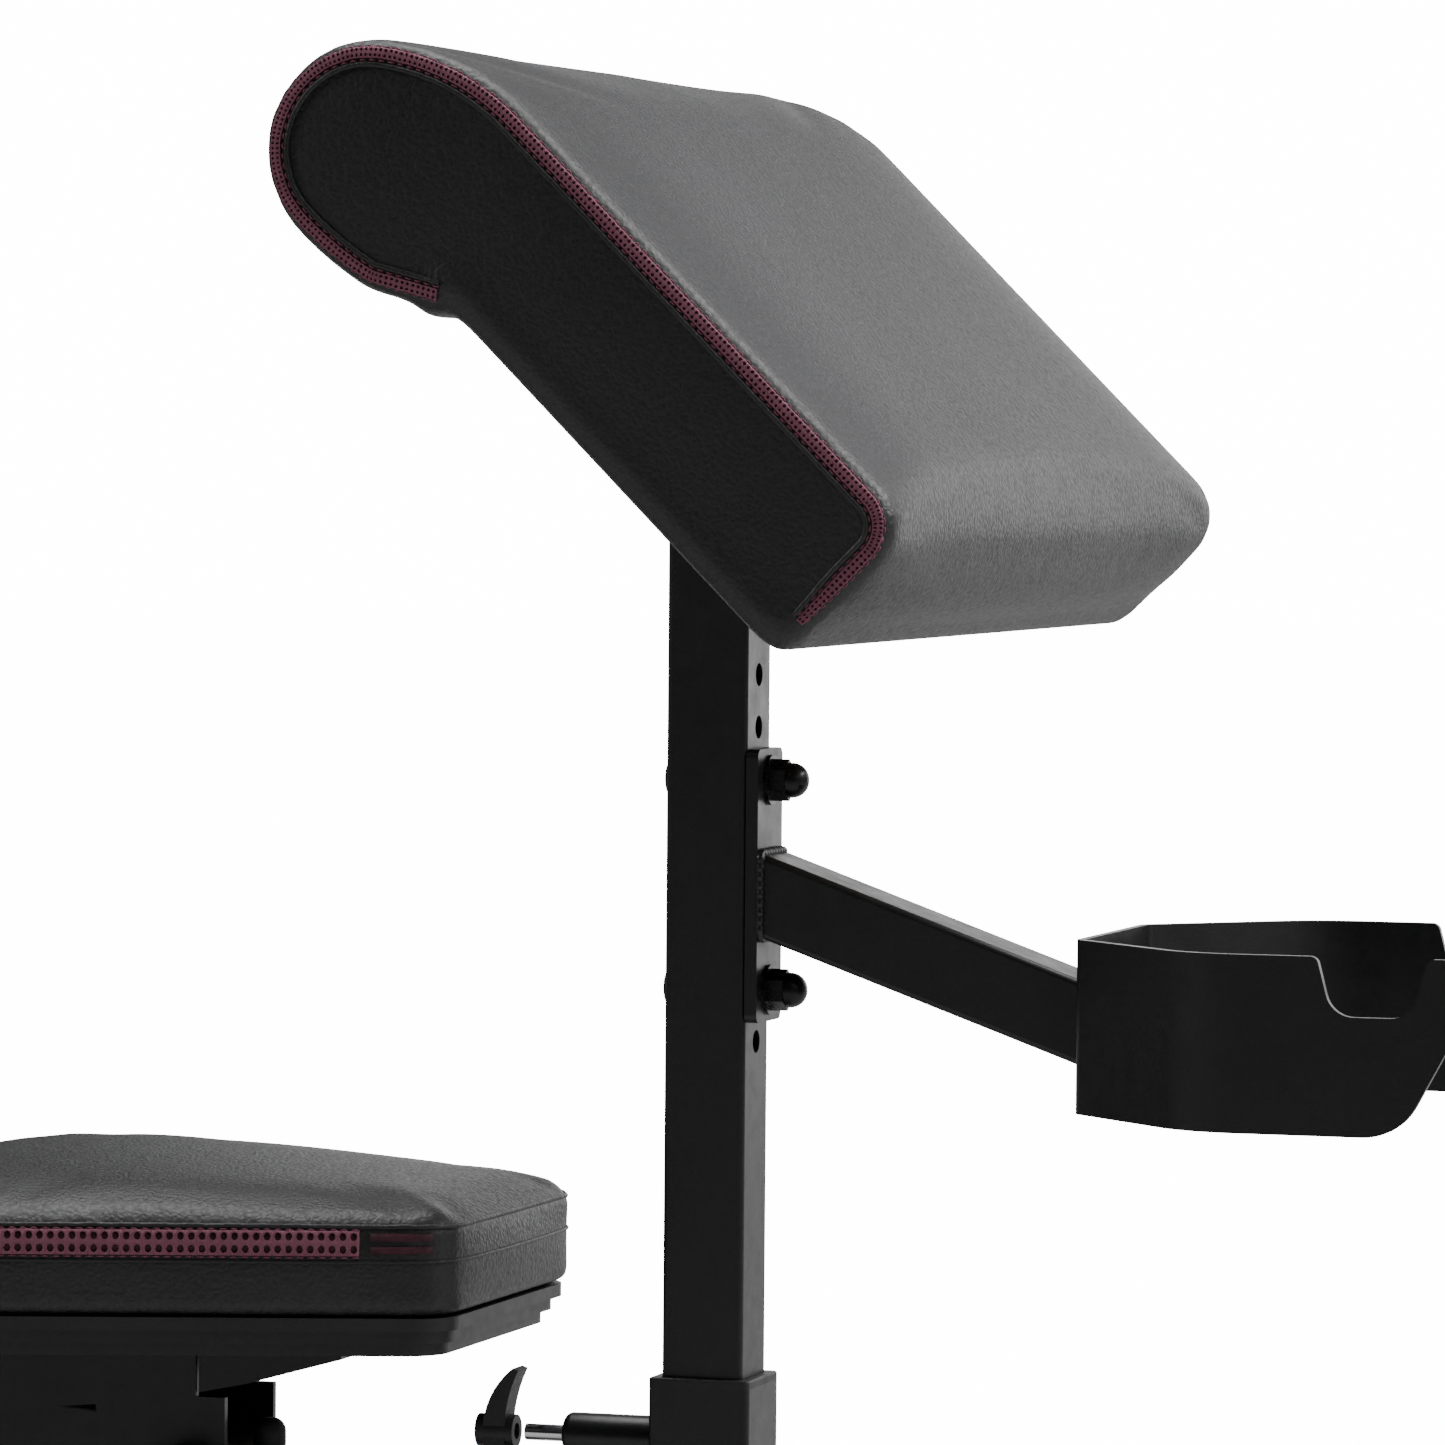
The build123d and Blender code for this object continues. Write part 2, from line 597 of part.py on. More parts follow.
def pull_pin(wall, reach):
    """The pin itself: a stout tip through the tube's wall, a collar for the spring and a slim rod."""
    with BuildPart() as pin:
        with BuildSketch(wall.offset(-reach)):
            Circle(PIN_R)
        extrude(amount=reach + COLLAR[0])
        chamfer(pin.faces().sort_by(Axis(wall.origin, wall.z_dir))[0].edges(), 1.2)
        with BuildSketch(wall.offset(COLLAR[0])):
            Circle(HOUSING_BORE - SIDE_GAP)
        extrude(amount=COLLAR[1] - COLLAR[0])
        with BuildSketch(wall.offset(COLLAR[1])):
            Circle(ROD_R)
        extrude(amount=HOUSING_LENGTH + HANDLE_GAP + BOSS_LENGTH / 2 - COLLAR[1])
    return pin.part


def pin_spring(wall):
    """A coil that fills the barrel between the pin's collar and the barrel's end."""
    free = HOUSING_LENGTH - HOUSING_END - COLLAR[1] - 2 * SPRING_WIRE
    turns = 7
    mean_r = (ROD_R + HOUSING_BORE) / 2
    start = wall.offset(COLLAR[1] + SPRING_WIRE)
    with BuildPart() as coil:
        with BuildLine():
            turn = Helix(free / turns, free, mean_r)
        with BuildSketch(Plane(origin=turn @ 0, z_dir=turn % 0)):
            Circle(SPRING_WIRE / 2)
        sweep(is_frenet=True)
    return start.location * coil.part


def pin_handle(wall):
    """A crescent pull handle on a round boss; the crescent's horns reach back towards the tube."""
    root = HOUSING_LENGTH + HANDLE_GAP
    middle = Plane(origin=wall.origin, x_dir=wall.z_dir, z_dir=wall.x_dir)
    crown = root + BOSS_LENGTH + HANDLE_DEPTH
    with BuildPart() as handle:
        with BuildSketch(middle.offset(-HANDLE_WIDTH / 2)):
            with BuildLine():
                root = crown - HANDLE_SWEEP
                ThreePointArc((root, HANDLE_HALF), (crown, 0), (root, -HANDLE_HALF))
                Line((crown - HANDLE_SWEEP, -HANDLE_HALF), (crown - HANDLE_SWEEP - 3, -HANDLE_HALF + 1))
                ThreePointArc(
                    (crown - HANDLE_SWEEP - 3, -HANDLE_HALF + 1), (crown - HANDLE_DEPTH, 0),
                    (crown - HANDLE_SWEEP - 3, HANDLE_HALF - 1),
                )
                Line((crown - HANDLE_SWEEP - 3, HANDLE_HALF - 1), (crown - HANDLE_SWEEP, HANDLE_HALF))
            make_face()
        extrude(amount=HANDLE_WIDTH)
        with BuildSketch(wall.offset(root)):
            Circle(BOSS_R)
        extrude(amount=BOSS_LENGTH + 1)
        with BuildSketch(wall.offset(root)):
            Circle(ROD_R)
        extrude(amount=BOSS_LENGTH / 2, mode=Mode.SUBTRACT)
    return handle.part


CURL_REACH = HALF_FRAME - HALF_POST + POST_WALL + 1
UPRIGHT_REACH = HALF_UPRIGHT - HALF_INNER + FRAME_WALL + 1
pin_walls = {"curl": (RECEIVER_BACK, CURL_REACH)}
for side in SIDES:
    pin_walls[side] = (upright_walls[side], UPRIGHT_REACH)
save(Compound(children=[pin_housing(wall) for wall, _ in pin_walls.values()]), "pin_housings")
for name, (wall, reach) in pin_walls.items():
    save(pull_pin(wall, reach), f"{name}_pin")
    save(pin_spring(wall), f"{name}_pin_spring")
    save(pin_handle(wall), f"{name}_pin_handle")

# ---------------------------------------------------------------- spine and rear crossmember
spine_end = UPRIGHT_X + HALF_FRAME + FLANGE
bend_start = POST_X + SPINE_BEND_X
bend_end = (bend_start + SPINE_BEND_R * sin(radians(SPINE_BEND)),
            SPINE_Z - SPINE_BEND_R * (1 - cos(radians(SPINE_BEND))))
last_run = (POST_X - HALF_FRAME - bend_end[0]) / cos(radians(SPINE_BEND)) + FRAME_TUBE
with BuildPart() as spine:
    with BuildLine(XZ_OUT):
        straight = Line((spine_end, SPINE_Z), (bend_start, SPINE_Z))
        bend = TangentArc(straight @ 1, bend_end, tangent=(1, 0))
        Line(bend @ 1, bend @ 1 + (bend % 1) * last_run)
    with BuildSketch(facing((spine_end, 0, SPINE_Z), FRONT, SIDEWAYS)):
        RectangleRounded(FRAME_TUBE, FRAME_TUBE, TUBE_CORNER)
        RectangleRounded(FRAME_TUBE - 2 * FRAME_WALL, FRAME_TUBE - 2 * FRAME_WALL, TUBE_CORNER - FRAME_WALL,
                         mode=Mode.SUBTRACT)
    sweep()
    split(bisect_by=facing((POST_X - HALF_FRAME, 0, 0), FRONT, SIDEWAYS), keep=Keep.BOTTOM)
save(spine.part, "spine")

FRAME_BOLT_R = 5.0
flange_list = []
frame_bolts = []
SPINE_FLANGE = 98.0
SPINE_BOLT_Y = 37.0
SPINE_BOLT_Z = 14.0
spine_bolts = [(y, z) for y in (-SPINE_BOLT_Y, SPINE_BOLT_Y) for z in (-SPINE_BOLT_Z, SPINE_BOLT_Z)]
with BuildPart() as spine_flange:
    with BuildSketch(facing((UPRIGHT_X + HALF_FRAME, 0, SPINE_Z), FRONT, SIDEWAYS)):
        RectangleRounded(SPINE_FLANGE, FRAME_TUBE, 6)
        with Locations(*spine_bolts):
            Circle(HOLE_R, mode=Mode.SUBTRACT)
    extrude(amount=FLANGE)
flange_list.append(spine_flange.part)
for y, z in spine_bolts:
    spot = facing((spine_end, y, SPINE_Z + z), BACK)
    frame_bolts.append(bolt(spot, FRAME_BOLT_R, FLANGE + FRAME_WALL + 12, 8.5, 6))

with BuildPart() as rear_crossmember:
    start = facing((UPRIGHT_X, -CROSS_HALF, SPINE_Z), (0, 1, 0), (1, 0, 0))
    add(tube(start, FRAME_TUBE, FRAME_TUBE, FRAME_WALL, 2 * CROSS_HALF))
    for y, z in spine_bolts:
        with BuildSketch(facing((UPRIGHT_X, y, SPINE_Z + z), FRONT)):
            Circle(HOLE_R)
        extrude(amount=FRAME_TUBE, mode=Mode.SUBTRACT)
save(rear_crossmember.part, "rear_crossmember")

END_BOLT_Z = 38.0
for side, sign in SIDES.items():
    inner_face = sign * (UPRIGHT_Y - HALF_UPRIGHT)
    inward = (0, -sign, 0)
    with BuildPart() as end_flange:
        with BuildSketch(facing((UPRIGHT_X, inner_face, SPINE_Z), inward, FRONT)):
            RectangleRounded(UPRIGHT_TUBE - 6, 108, 6)
            with Locations((0, -END_BOLT_Z), (0, END_BOLT_Z)):
                Circle(HOLE_R, mode=Mode.SUBTRACT)
        extrude(amount=FLANGE)
    flange_list.append(end_flange.part)
    for z in (-END_BOLT_Z, END_BOLT_Z):
        spot = facing((UPRIGHT_X, sign * CROSS_HALF, SPINE_Z + z), (0, sign, 0))
        frame_bolts.append(bolt(spot, FRAME_BOLT_R, FLANGE + FRAME_WALL + 12, 8.5, 6))
    with BuildPart() as upright:
        add(tube(Plane((UPRIGHT_X, sign * UPRIGHT_Y, BASE_TOP)), UPRIGHT_TUBE, UPRIGHT_TUBE, FRAME_WALL,
                 UPRIGHT_TOP - RIM - BASE_TOP))
        with BuildSketch(upright_walls[side]):
            Circle(PIN_R + AXLE_GAP)
        extrude(amount=-FRAME_WALL - 1, mode=Mode.SUBTRACT)
        for z in (-END_BOLT_Z, END_BOLT_Z):
            with BuildSketch(facing((UPRIGHT_X, inner_face, SPINE_Z + z), (0, sign, 0))):
                Circle(HOLE_R)
            extrude(amount=HALF_UPRIGHT, mode=Mode.SUBTRACT)
    save(upright.part, f"{side}_upright")
save(Compound(children=flange_list), "frame_flanges")
save(Compound(children=frame_bolts), "frame_bolts")

GUSSET = 95.0
gussets = []
for sign in SIDES.values():
    for ahead in (1, -1):
        face = UPRIGHT_X + ahead * HALF_UPRIGHT
        corner = [(face, BASE_TOP), (face + ahead * GUSSET, BASE_TOP), (face + ahead * GUSSET, BASE_TOP + 14),
                  (face + ahead * 14, BASE_TOP + GUSSET), (face, BASE_TOP + GUSSET)]
        gussets.append(slab(corner, sign * UPRIGHT_Y - 2.5, sign * UPRIGHT_Y + 2.5))
save(Compound(children=gussets), "upright_gussets")

# ---------------------------------------------------------------- telescoping uprights and bar catches
INNER_BOTTOM = UPRIGHT_TOP - INNER_BELOW
catch_back = UPRIGHT_X + HALF_INNER
catch_front = catch_back + CATCH_SHEET + CATCH_MOUTH
catch_outline = [
    (catch_back, CATCH_FLOOR_Z - CATCH_SHEET), (catch_front, CATCH_FLOOR_Z - CATCH_SHEET),
    (catch_front + CATCH_SHEET, CATCH_FLOOR_Z), (catch_front + CATCH_SHEET + 10, CATCH_FLOOR_Z + 42),
    (catch_front + 10, CATCH_FLOOR_Z + 43), (catch_front, CATCH_FLOOR_Z),
    (catch_back + CATCH_SHEET, CATCH_FLOOR_Z), (catch_back + CATCH_SHEET, CATCH_FLOOR_Z + 95),
    (catch_back, CATCH_FLOOR_Z + 95),
]
for side, sign in SIDES.items():
    y = sign * UPRIGHT_Y
    with BuildPart() as inner_upright:
        add(tube(Plane((UPRIGHT_X, y, INNER_BOTTOM)), UPRIGHT_INNER, UPRIGHT_INNER, FRAME_WALL,
                 INNER_TOP - RIM - INNER_BOTTOM))
        for i in range(UPRIGHT_STEPS + 1):
            with BuildSketch(facing((UPRIGHT_X, y, UPRIGHT_PIN_Z - UPRIGHT_STEP * i), FRONT)):
                Circle(HOLE_R)
            extrude(amount=UPRIGHT_INNER, mode=Mode.SUBTRACT)
    save(inner_upright.part, f"{side}_inner_upright")
    save(slab(catch_outline, y - CATCH_WIDTH / 2, y + CATCH_WIDTH / 2), f"{side}_bar_catch")
    with BuildPart() as top_cap:
        plug = UPRIGHT_INNER - 2 * FRAME_WALL
        with BuildSketch(Plane((UPRIGHT_X, y, INNER_TOP))):
            RectangleRounded(UPRIGHT_INNER, UPRIGHT_INNER, TUBE_CORNER)
        extrude(amount=-RIM)
        fillet(top_cap.faces().sort_by(Axis.Z)[-1].edges(), 2)
        with BuildSketch(Plane((UPRIGHT_X, y, INNER_TOP - RIM))):
            RectangleRounded(plug, plug, TUBE_CORNER - FRAME_WALL)
        extrude(amount=-20)
    save(top_cap.part, f"{side}_top_cap")

# ---------------------------------------------------------------- hinges, stops and rack on the spine
EAR = 5.0
seat_hinge = (POST_X + SEAT_HINGE_X, SEAT_HINGE_Z)
back_hinge = (POST_X + BACK_HINGE_X, BACK_HINGE_Z)
SEAT_AXLE_R = 5.0
BACK_AXLE_R = 6.0
STUD_R = 5.0
EAR_FOOT = 26.0
EAR_TOP = 9.0  # half the ear's width at its top, inside the path of the tilting pad's underside
EAR_LAP = 30.0


def hinge_ear(hinge, axle_r, top, low_y):
    """A plate welded to the spine's side, with the hinge bolt's hole near its top."""
    x, z = hinge
    foot = SPINE_TOP - EAR_LAP
    outline = [(x - EAR_FOOT, foot), (x + EAR_FOOT, foot), (x + EAR_TOP, top), (x - EAR_TOP, top)]
    with BuildPart() as ear:
        add(slab(outline, low_y, low_y + EAR, 3))
        with BuildSketch(facing((x, low_y - 1, z), SIDEWAYS)):
            Circle(axle_r)
        extrude(amount=EAR + 2, mode=Mode.SUBTRACT)
    return ear.part


ears = []
for low_y in (HALF_FRAME, -HALF_FRAME - EAR):
    ears.append(hinge_ear(seat_hinge, SEAT_AXLE_R, seat_hinge[1] + 12, low_y))
    ears.append(hinge_ear(back_hinge, BACK_AXLE_R, back_hinge[1] + 10, low_y))
save(Compound(children=ears), "hinge_ears")

wall_in = CARRIAGE_INNER / 2
wall_out = wall_in + CARRIAGE_SHEET
rail_out = RAIL_INNER + RAIL_WIDTH
slot_r = SLOT_RADIUS
stud_x, stud_z = on_circle(seat_hinge, slot_r, -STUD_ANGLE)
STUD_END = 58.0
hinge_bolts = []
for hinge, radius, reach in ((seat_hinge, SEAT_AXLE_R, wall_out), (back_hinge, BACK_AXLE_R, rail_out)):
    ends = reach + SIDE_GAP
    with BuildPart() as hinge_bolt:
        with BuildSketch(facing((hinge[0], -ends, hinge[1]), SIDEWAYS)):
            Circle(radius)
        extrude(amount=2 * ends)
        for sign in (1, -1):
            with BuildSketch(facing((hinge[0], sign * ends, hinge[1]), (0, sign, 0))):
                Circle(radius + 4)
            extrude(amount=6)
            dome = hinge_bolt.faces().sort_by(Axis.Y)[-1 if sign > 0 else 0].edges()
            fillet(dome, 3)
    hinge_bolts.append(hinge_bolt.part)
hinge_bolts.append(rod(facing((stud_x, -HALF_FRAME, stud_z), (0, -1, 0)), STUD_R, STUD_END - HALF_FRAME))
save(Compound(children=hinge_bolts), "hinge_bolts")

shell_bottom = SEAT_BASE_Z
carriage_top = shell_bottom - CARRIAGE_SHEET
rail_bottom = BACK_HINGE_Z - RAIL_HEIGHT / 2
stops = [box((bend_start - 35, -20, SPINE_TOP), (bend_start - 10, 20, carriage_top))]
for sign in (1, -1):
    rail_y = sign * (RAIL_INNER + RAIL_WIDTH / 2)
    stops.append(box((UPRIGHT_X - 18, rail_y - 10, SPINE_TOP), (UPRIGHT_X + 18, rail_y + 10, rail_bottom)))
bumper_x = POST_X + BUMPER_X
outer_bend = SPINE_BEND_R + HALF_FRAME
bumper_foot = SPINE_Z - SPINE_BEND_R + sqrt(outer_bend**2 - (bumper_x + BUMPER_R - bend_start) ** 2)
with BuildPart() as bumper:
    with BuildSketch(Plane((bumper_x, 0, bumper_foot - 4))):
        Circle(BUMPER_R)
    extrude(amount=BUMPER_TOP - bumper_foot + 4)
    fillet(bumper.faces().sort_by(Axis.Z)[-1].edges(), BUMPER_R * 0.8)
    add(spine.part, mode=Mode.SUBTRACT)
stops.append(bumper.part.solids().sort_by(Axis.Z)[-1])
save(Compound(children=stops), "rubber_stops")

rack_low = SPINE_TOP
rack_top = BACK_HINGE_Z - PROP_ROD_R - SIDE_GAP
rack_from = POST_X + BACK_HINGE_X - 2 * PROP_REACH + 50
teeth = []
for i in range(RACK_TEETH + 1):
    x = rack_from + i * RACK_PITCH
    gap = rack_low + 4
    teeth += [(x, gap), (x + 6, gap), (x + RACK_PITCH - 6, rack_top), (x + RACK_PITCH, rack_top)]
rack_end = rack_from + (RACK_TEETH + 1) * RACK_PITCH
outline = [(rack_from, rack_low), *teeth, (rack_end, rack_low)]
with BuildPart() as prop_rack:
    with BuildSketch(XZ_OUT.offset(-15)):
        with BuildLine():
            Polyline(*outline, close=True)
        make_face()
    extrude(amount=30)
save(prop_rack.part, "prop_rack")

# ---------------------------------------------------------------- seat
seat_front = POST_X + SEAT_FRONT_X
seat_rear = seat_front - SEAT_LENGTH


def seat_outline(inset):
    """The seat's plan: narrow at the front, flaring to a parallel rear."""
    front_half = SEAT_FRONT_WIDTH / 2 - inset
    rear_half = SEAT_REAR_WIDTH / 2 - inset
    flare_end = seat_front - SEAT_FLARE
    with BuildSketch() as plan:
        Polygon(
            (seat_front - inset, -front_half), (seat_front - inset, front_half),
            (flare_end, rear_half), (seat_rear + inset, rear_half),
            (seat_rear + inset, -rear_half), (flare_end, -rear_half), align=None,
        )
        front = plan.vertices().filter_by_position(Axis.X, seat_front - 20, seat_front + 1)
        fillet(front, 22)
        fillet(plan.vertices().filter_by_position(Axis.X, seat_rear - 1, seat_rear + 20), 30)
        fillet(plan.vertices().filter_by_position(Axis.X, flare_end - 1, flare_end + 1), 60)
    return plan.sketch


shell_top = shell_bottom + SEAT_SHELL
seat_screw_spots = [(POST_X + x, y) for x in (-385, -290) for y in (-22, 22)]
with BuildPart() as seat_shell:
    layers = 3
    for i in range(layers):
        with BuildSketch(Plane((0, 0, shell_bottom + SEAT_SHELL * i / layers))):
            add(seat_outline(12 - 4 * i))
        extrude(amount=SEAT_SHELL / layers)
    with BuildSketch(Plane((0, 0, shell_bottom))):
        with Locations(*seat_screw_spots):
            Circle(SCREW_R)
    extrude(amount=SEAT_SHELL - 4, mode=Mode.SUBTRACT)
save(seat_shell.part, "seat_shell")

with BuildPart() as seat_pad:
    with BuildSketch(Plane((0, 0, shell_top))):
        add(seat_outline(0))
    extrude(amount=SEAT_PAD_THICK + SEAT_CROWN)
    fillet(seat_pad.faces().sort_by(Axis.Z)[-1].edges(), 16)
    fillet(seat_pad.faces().sort_by(Axis.Z)[0].edges(), 6)
save(seat_pad.part, "seat_pad")

wall_rear = seat_hinge[0] - 13
wall_bend = POST_X + CARRIAGE_BEND_X
brace_low = seat_hinge[1] - 3
wall_outline = [
    (wall_rear, carriage_top), (wall_rear, seat_hinge[1] - 20), (stud_x - 44, seat_hinge[1] - 10),
    (stud_x - 36, stud_z - 46), (stud_x + 4, stud_z - 46), (stud_x + 23, stud_z - 10),
    (stud_x + 23, brace_low - 1), (wall_bend, brace_low - 1), (wall_bend, carriage_top),
]
with BuildPart() as seat_carriage:
    for low_y in (wall_in, -wall_out):
        add(slab(wall_outline, low_y, low_y + CARRIAGE_SHEET))
    with BuildSketch(Plane((0, 0, carriage_top))):
        with BuildLine():
            Polyline((wall_rear, -wall_out), (wall_bend, -wall_out), (wall_bend + 90, -12),
                     (wall_bend + 90, 12), (wall_bend, wall_out), (wall_rear, wall_out), close=True)
        make_face()
        with Locations(*seat_screw_spots):
            Circle(SCREW_R, mode=Mode.SUBTRACT)
    extrude(amount=CARRIAGE_SHEET)
    with BuildSketch(facing((seat_hinge[0], -wall_out - 1, seat_hinge[1]), SIDEWAYS)):
        Circle(SEAT_AXLE_R + AXLE_GAP)
    extrude(amount=2 * wall_out + 2, mode=Mode.SUBTRACT)
    with BuildSketch(XZ_OUT.offset(wall_in - 1)):
        with BuildLine():
            top_angle = -STUD_ANGLE
            low_angle = -STUD_ANGLE - SEAT_TILT
            half_slot = STUD_R + SIDE_GAP
            CenterArc(seat_hinge, slot_r + half_slot, low_angle, SEAT_TILT)
            CenterArc(seat_hinge, slot_r - half_slot, low_angle, SEAT_TILT)
            CenterArc(on_circle(seat_hinge, slot_r, top_angle), half_slot, top_angle, 180)
            CenterArc(on_circle(seat_hinge, slot_r, low_angle), half_slot, low_angle + 180, 180)
        make_face()
    extrude(amount=CARRIAGE_SHEET + 2, mode=Mode.SUBTRACT)
save(seat_carriage.part, "seat_carriage")

# The folded brace under the seat's front: two cheeks that close in towards the middle.
brace_tip = (wall_bend + 66, 12.0)
with BuildPart() as front_brace:
    with BuildSketch(Plane((0, 0, brace_low - 5))):
        with BuildLine() as cheeks:
            Polyline((wall_bend + 1.5, -wall_out), (brace_tip[0], -brace_tip[1]), brace_tip,
                     (wall_bend + 1.5, wall_out))
            offset(amount=3, side=Side.LEFT, closed=True)
        make_face()
    extrude(amount=carriage_top - brace_low + 5)
    under = [(wall_bend - 5, brace_low), (wall_bend + 22, brace_low + 5),
             (wall_bend + 75, carriage_top - 6), (wall_bend + 75, seat_hinge[1] - 20),
             (wall_bend - 5, seat_hinge[1] - 20)]
    add(slab(under, -wall_out - 5, wall_out + 5), mode=Mode.SUBTRACT)
save(front_brace.part, "seat_front_brace")

screws = []
for x, y in seat_screw_spots:
    length = CARRIAGE_SHEET + SEAT_SHELL - 5
    screws.append(bolt(Plane((x, y, carriage_top)), SCREW_R, length, SCREW_HEAD_R, 4, False))
save(Compound(children=screws), "seat_screws")

with BuildPart() as seat_knob:
    knob_face = facing((stud_x, -wall_out - SIDE_GAP, stud_z), (0, -1, 0), FRONT)
    with BuildSketch(knob_face):
        Circle(12)
    extrude(amount=12)
    with BuildSketch(knob_face.offset(6)):
        Circle(KNOB_R)
        with PolarLocations(KNOB_R + 3, 6):
            Circle(5.5, mode=Mode.SUBTRACT)
    extrude(amount=20)
    fillet(seat_knob.faces().sort_by(Axis.Y)[0].edges(), 1.5)
    with BuildSketch(knob_face):
        Circle(STUD_R + AXLE_GAP)
    extrude(amount=STUD_END - wall_out + 1, mode=Mode.SUBTRACT)
save(seat_knob.part, "seat_knob")

# ---------------------------------------------------------------- backrest and prop
pad_bottom = BACK_HINGE_Z + RAIL_HEIGHT / 2
pad_ahead = back_hinge[0] + BACK_PAD_AHEAD
pad_behind = pad_ahead - BACK_PAD_LENGTH
pad_middle = (pad_ahead + pad_behind) / 2
board_size = (BACK_PAD_LENGTH - 60, BACK_PAD_WIDTH - 50)
prop_pivot = (back_hinge[0] - PROP_REACH, BACK_HINGE_Z)
prop_foot = (back_hinge[0] - 2 * PROP_REACH, BACK_HINGE_Z)
PROP_AXLE_R = 5.0
brace_spots = [back_hinge[0] - 90, pad_behind + 60]
BRACE = (40.0, 4.0)
back_screw_spots = [(x, y) for x in brace_spots for y in (-20, 20)]

with BuildPart() as back_pad:
    with BuildSketch(Plane((pad_middle, 0, pad_bottom))):
        RectangleRounded(BACK_PAD_LENGTH, BACK_PAD_WIDTH, 34)
    extrude(amount=BACK_PAD_THICK)
    fillet(back_pad.faces().sort_by(Axis.Z)[-1].edges(), 18)
    fillet(back_pad.faces().sort_by(Axis.Z)[0].edges(), 8)
    with BuildSketch(Plane((pad_middle, 0, pad_bottom))):
        RectangleRounded(*board_size, 25)
    extrude(amount=BACK_BOARD, mode=Mode.SUBTRACT)
save(back_pad.part, "back_pad")

with BuildPart() as back_board:
    with BuildSketch(Plane((pad_middle, 0, pad_bottom))):
        RectangleRounded(*board_size, 25)
    extrude(amount=BACK_BOARD)
    with BuildSketch(Plane((0, 0, pad_bottom))):
        with Locations(*back_screw_spots):
            Circle(SCREW_R)
    extrude(amount=BACK_BOARD - 2, mode=Mode.SUBTRACT)
save(back_board.part, "back_board")

rail_rear = back_hinge[0] + 18 - RAIL_LENGTH
for side, sign in SIDES.items():
    rail_y = sign * (RAIL_INNER + RAIL_WIDTH / 2)
    with BuildPart() as rail:
        start = facing((rail_rear, rail_y, BACK_HINGE_Z), FRONT, SIDEWAYS)
        add(tube(start, RAIL_WIDTH, RAIL_HEIGHT, FRAME_WALL, RAIL_LENGTH))
        for spot, radius in ((back_hinge, BACK_AXLE_R + AXLE_GAP), (prop_pivot, PROP_AXLE_R)):
            with BuildSketch(facing((spot[0], -rail_out - 1, spot[1]), SIDEWAYS)):
                Circle(radius)
            extrude(amount=2 * rail_out + 2, mode=Mode.SUBTRACT)
    save(rail.part, f"{side}_back_rail")

braces = []
for x in brace_spots:
    with BuildPart() as brace:
        with BuildSketch(Plane((x, 0, pad_bottom - BRACE[1]))):
            Rectangle(BRACE[0], 2 * RAIL_INNER)
        extrude(amount=BRACE[1])
        with BuildSketch(Plane((x, 0, pad_bottom - BRACE[1]))):
            with Locations((0, -20), (0, 20)):
                Circle(SCREW_R)
        extrude(amount=BRACE[1], mode=Mode.SUBTRACT)
    braces.append(brace.part)
save(Compound(children=braces), "back_braces")

screws = []
for x, y in back_screw_spots:
    spot = Plane((x, y, pad_bottom - BRACE[1]))
    screws.append(bolt(spot, SCREW_R, BRACE[1] + BACK_BOARD - 3, SCREW_HEAD_R, 4, False))
save(Compound(children=screws), "back_screws")

with BuildPart() as prop_bolt:
    ends = rail_out
    with BuildSketch(facing((prop_pivot[0], -ends, prop_pivot[1]), SIDEWAYS)):
        Circle(PROP_AXLE_R)
    extrude(amount=2 * ends)
    for sign in (1, -1):
        with BuildSketch(facing((prop_pivot[0], sign * ends, prop_pivot[1]), (0, sign, 0))):
            Circle(PROP_AXLE_R + 4)
        extrude(amount=5)
save(prop_bolt.part, "prop_bolt")

bar_height, bar_width = PROP_BAR
bar_inner = RAIL_INNER - 2 - bar_width
bars = []
for sign in (1, -1):
    low_y = bar_inner if sign > 0 else -bar_inner - bar_width
    with BuildPart() as bar:
        with BuildSketch(XZ_OUT.offset(-low_y - bar_width)):
            with Locations(((prop_pivot[0] + prop_foot[0]) / 2, BACK_HINGE_Z)):
                SlotCenterToCenter(PROP_REACH, bar_height)
        extrude(amount=bar_width)
        for spot, radius in ((prop_pivot, PROP_AXLE_R + AXLE_GAP), (prop_foot, PROP_ROD_R)):
            with BuildSketch(facing((spot[0], low_y - 1, spot[1]), SIDEWAYS)):
                Circle(radius)
            extrude(amount=bar_width + 2, mode=Mode.SUBTRACT)
    bars.append(bar.part)
save(Compound(children=bars), "prop_bars")
rod_half = RAIL_INNER - 1
save(rod(facing((prop_foot[0], -rod_half, prop_foot[1]), SIDEWAYS), PROP_ROD_R, 2 * rod_half), "prop_rod")

print(len(WRITTEN), "nodes written")
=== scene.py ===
"""Olympic weight bench with a curl station: looks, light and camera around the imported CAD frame."""

import json
import math

import bmesh
import bpy
import numpy as np
from mathutils import Matrix, Vector
from mathutils.bvhtree import BVHTree
from mathutils.kdtree import KDTree


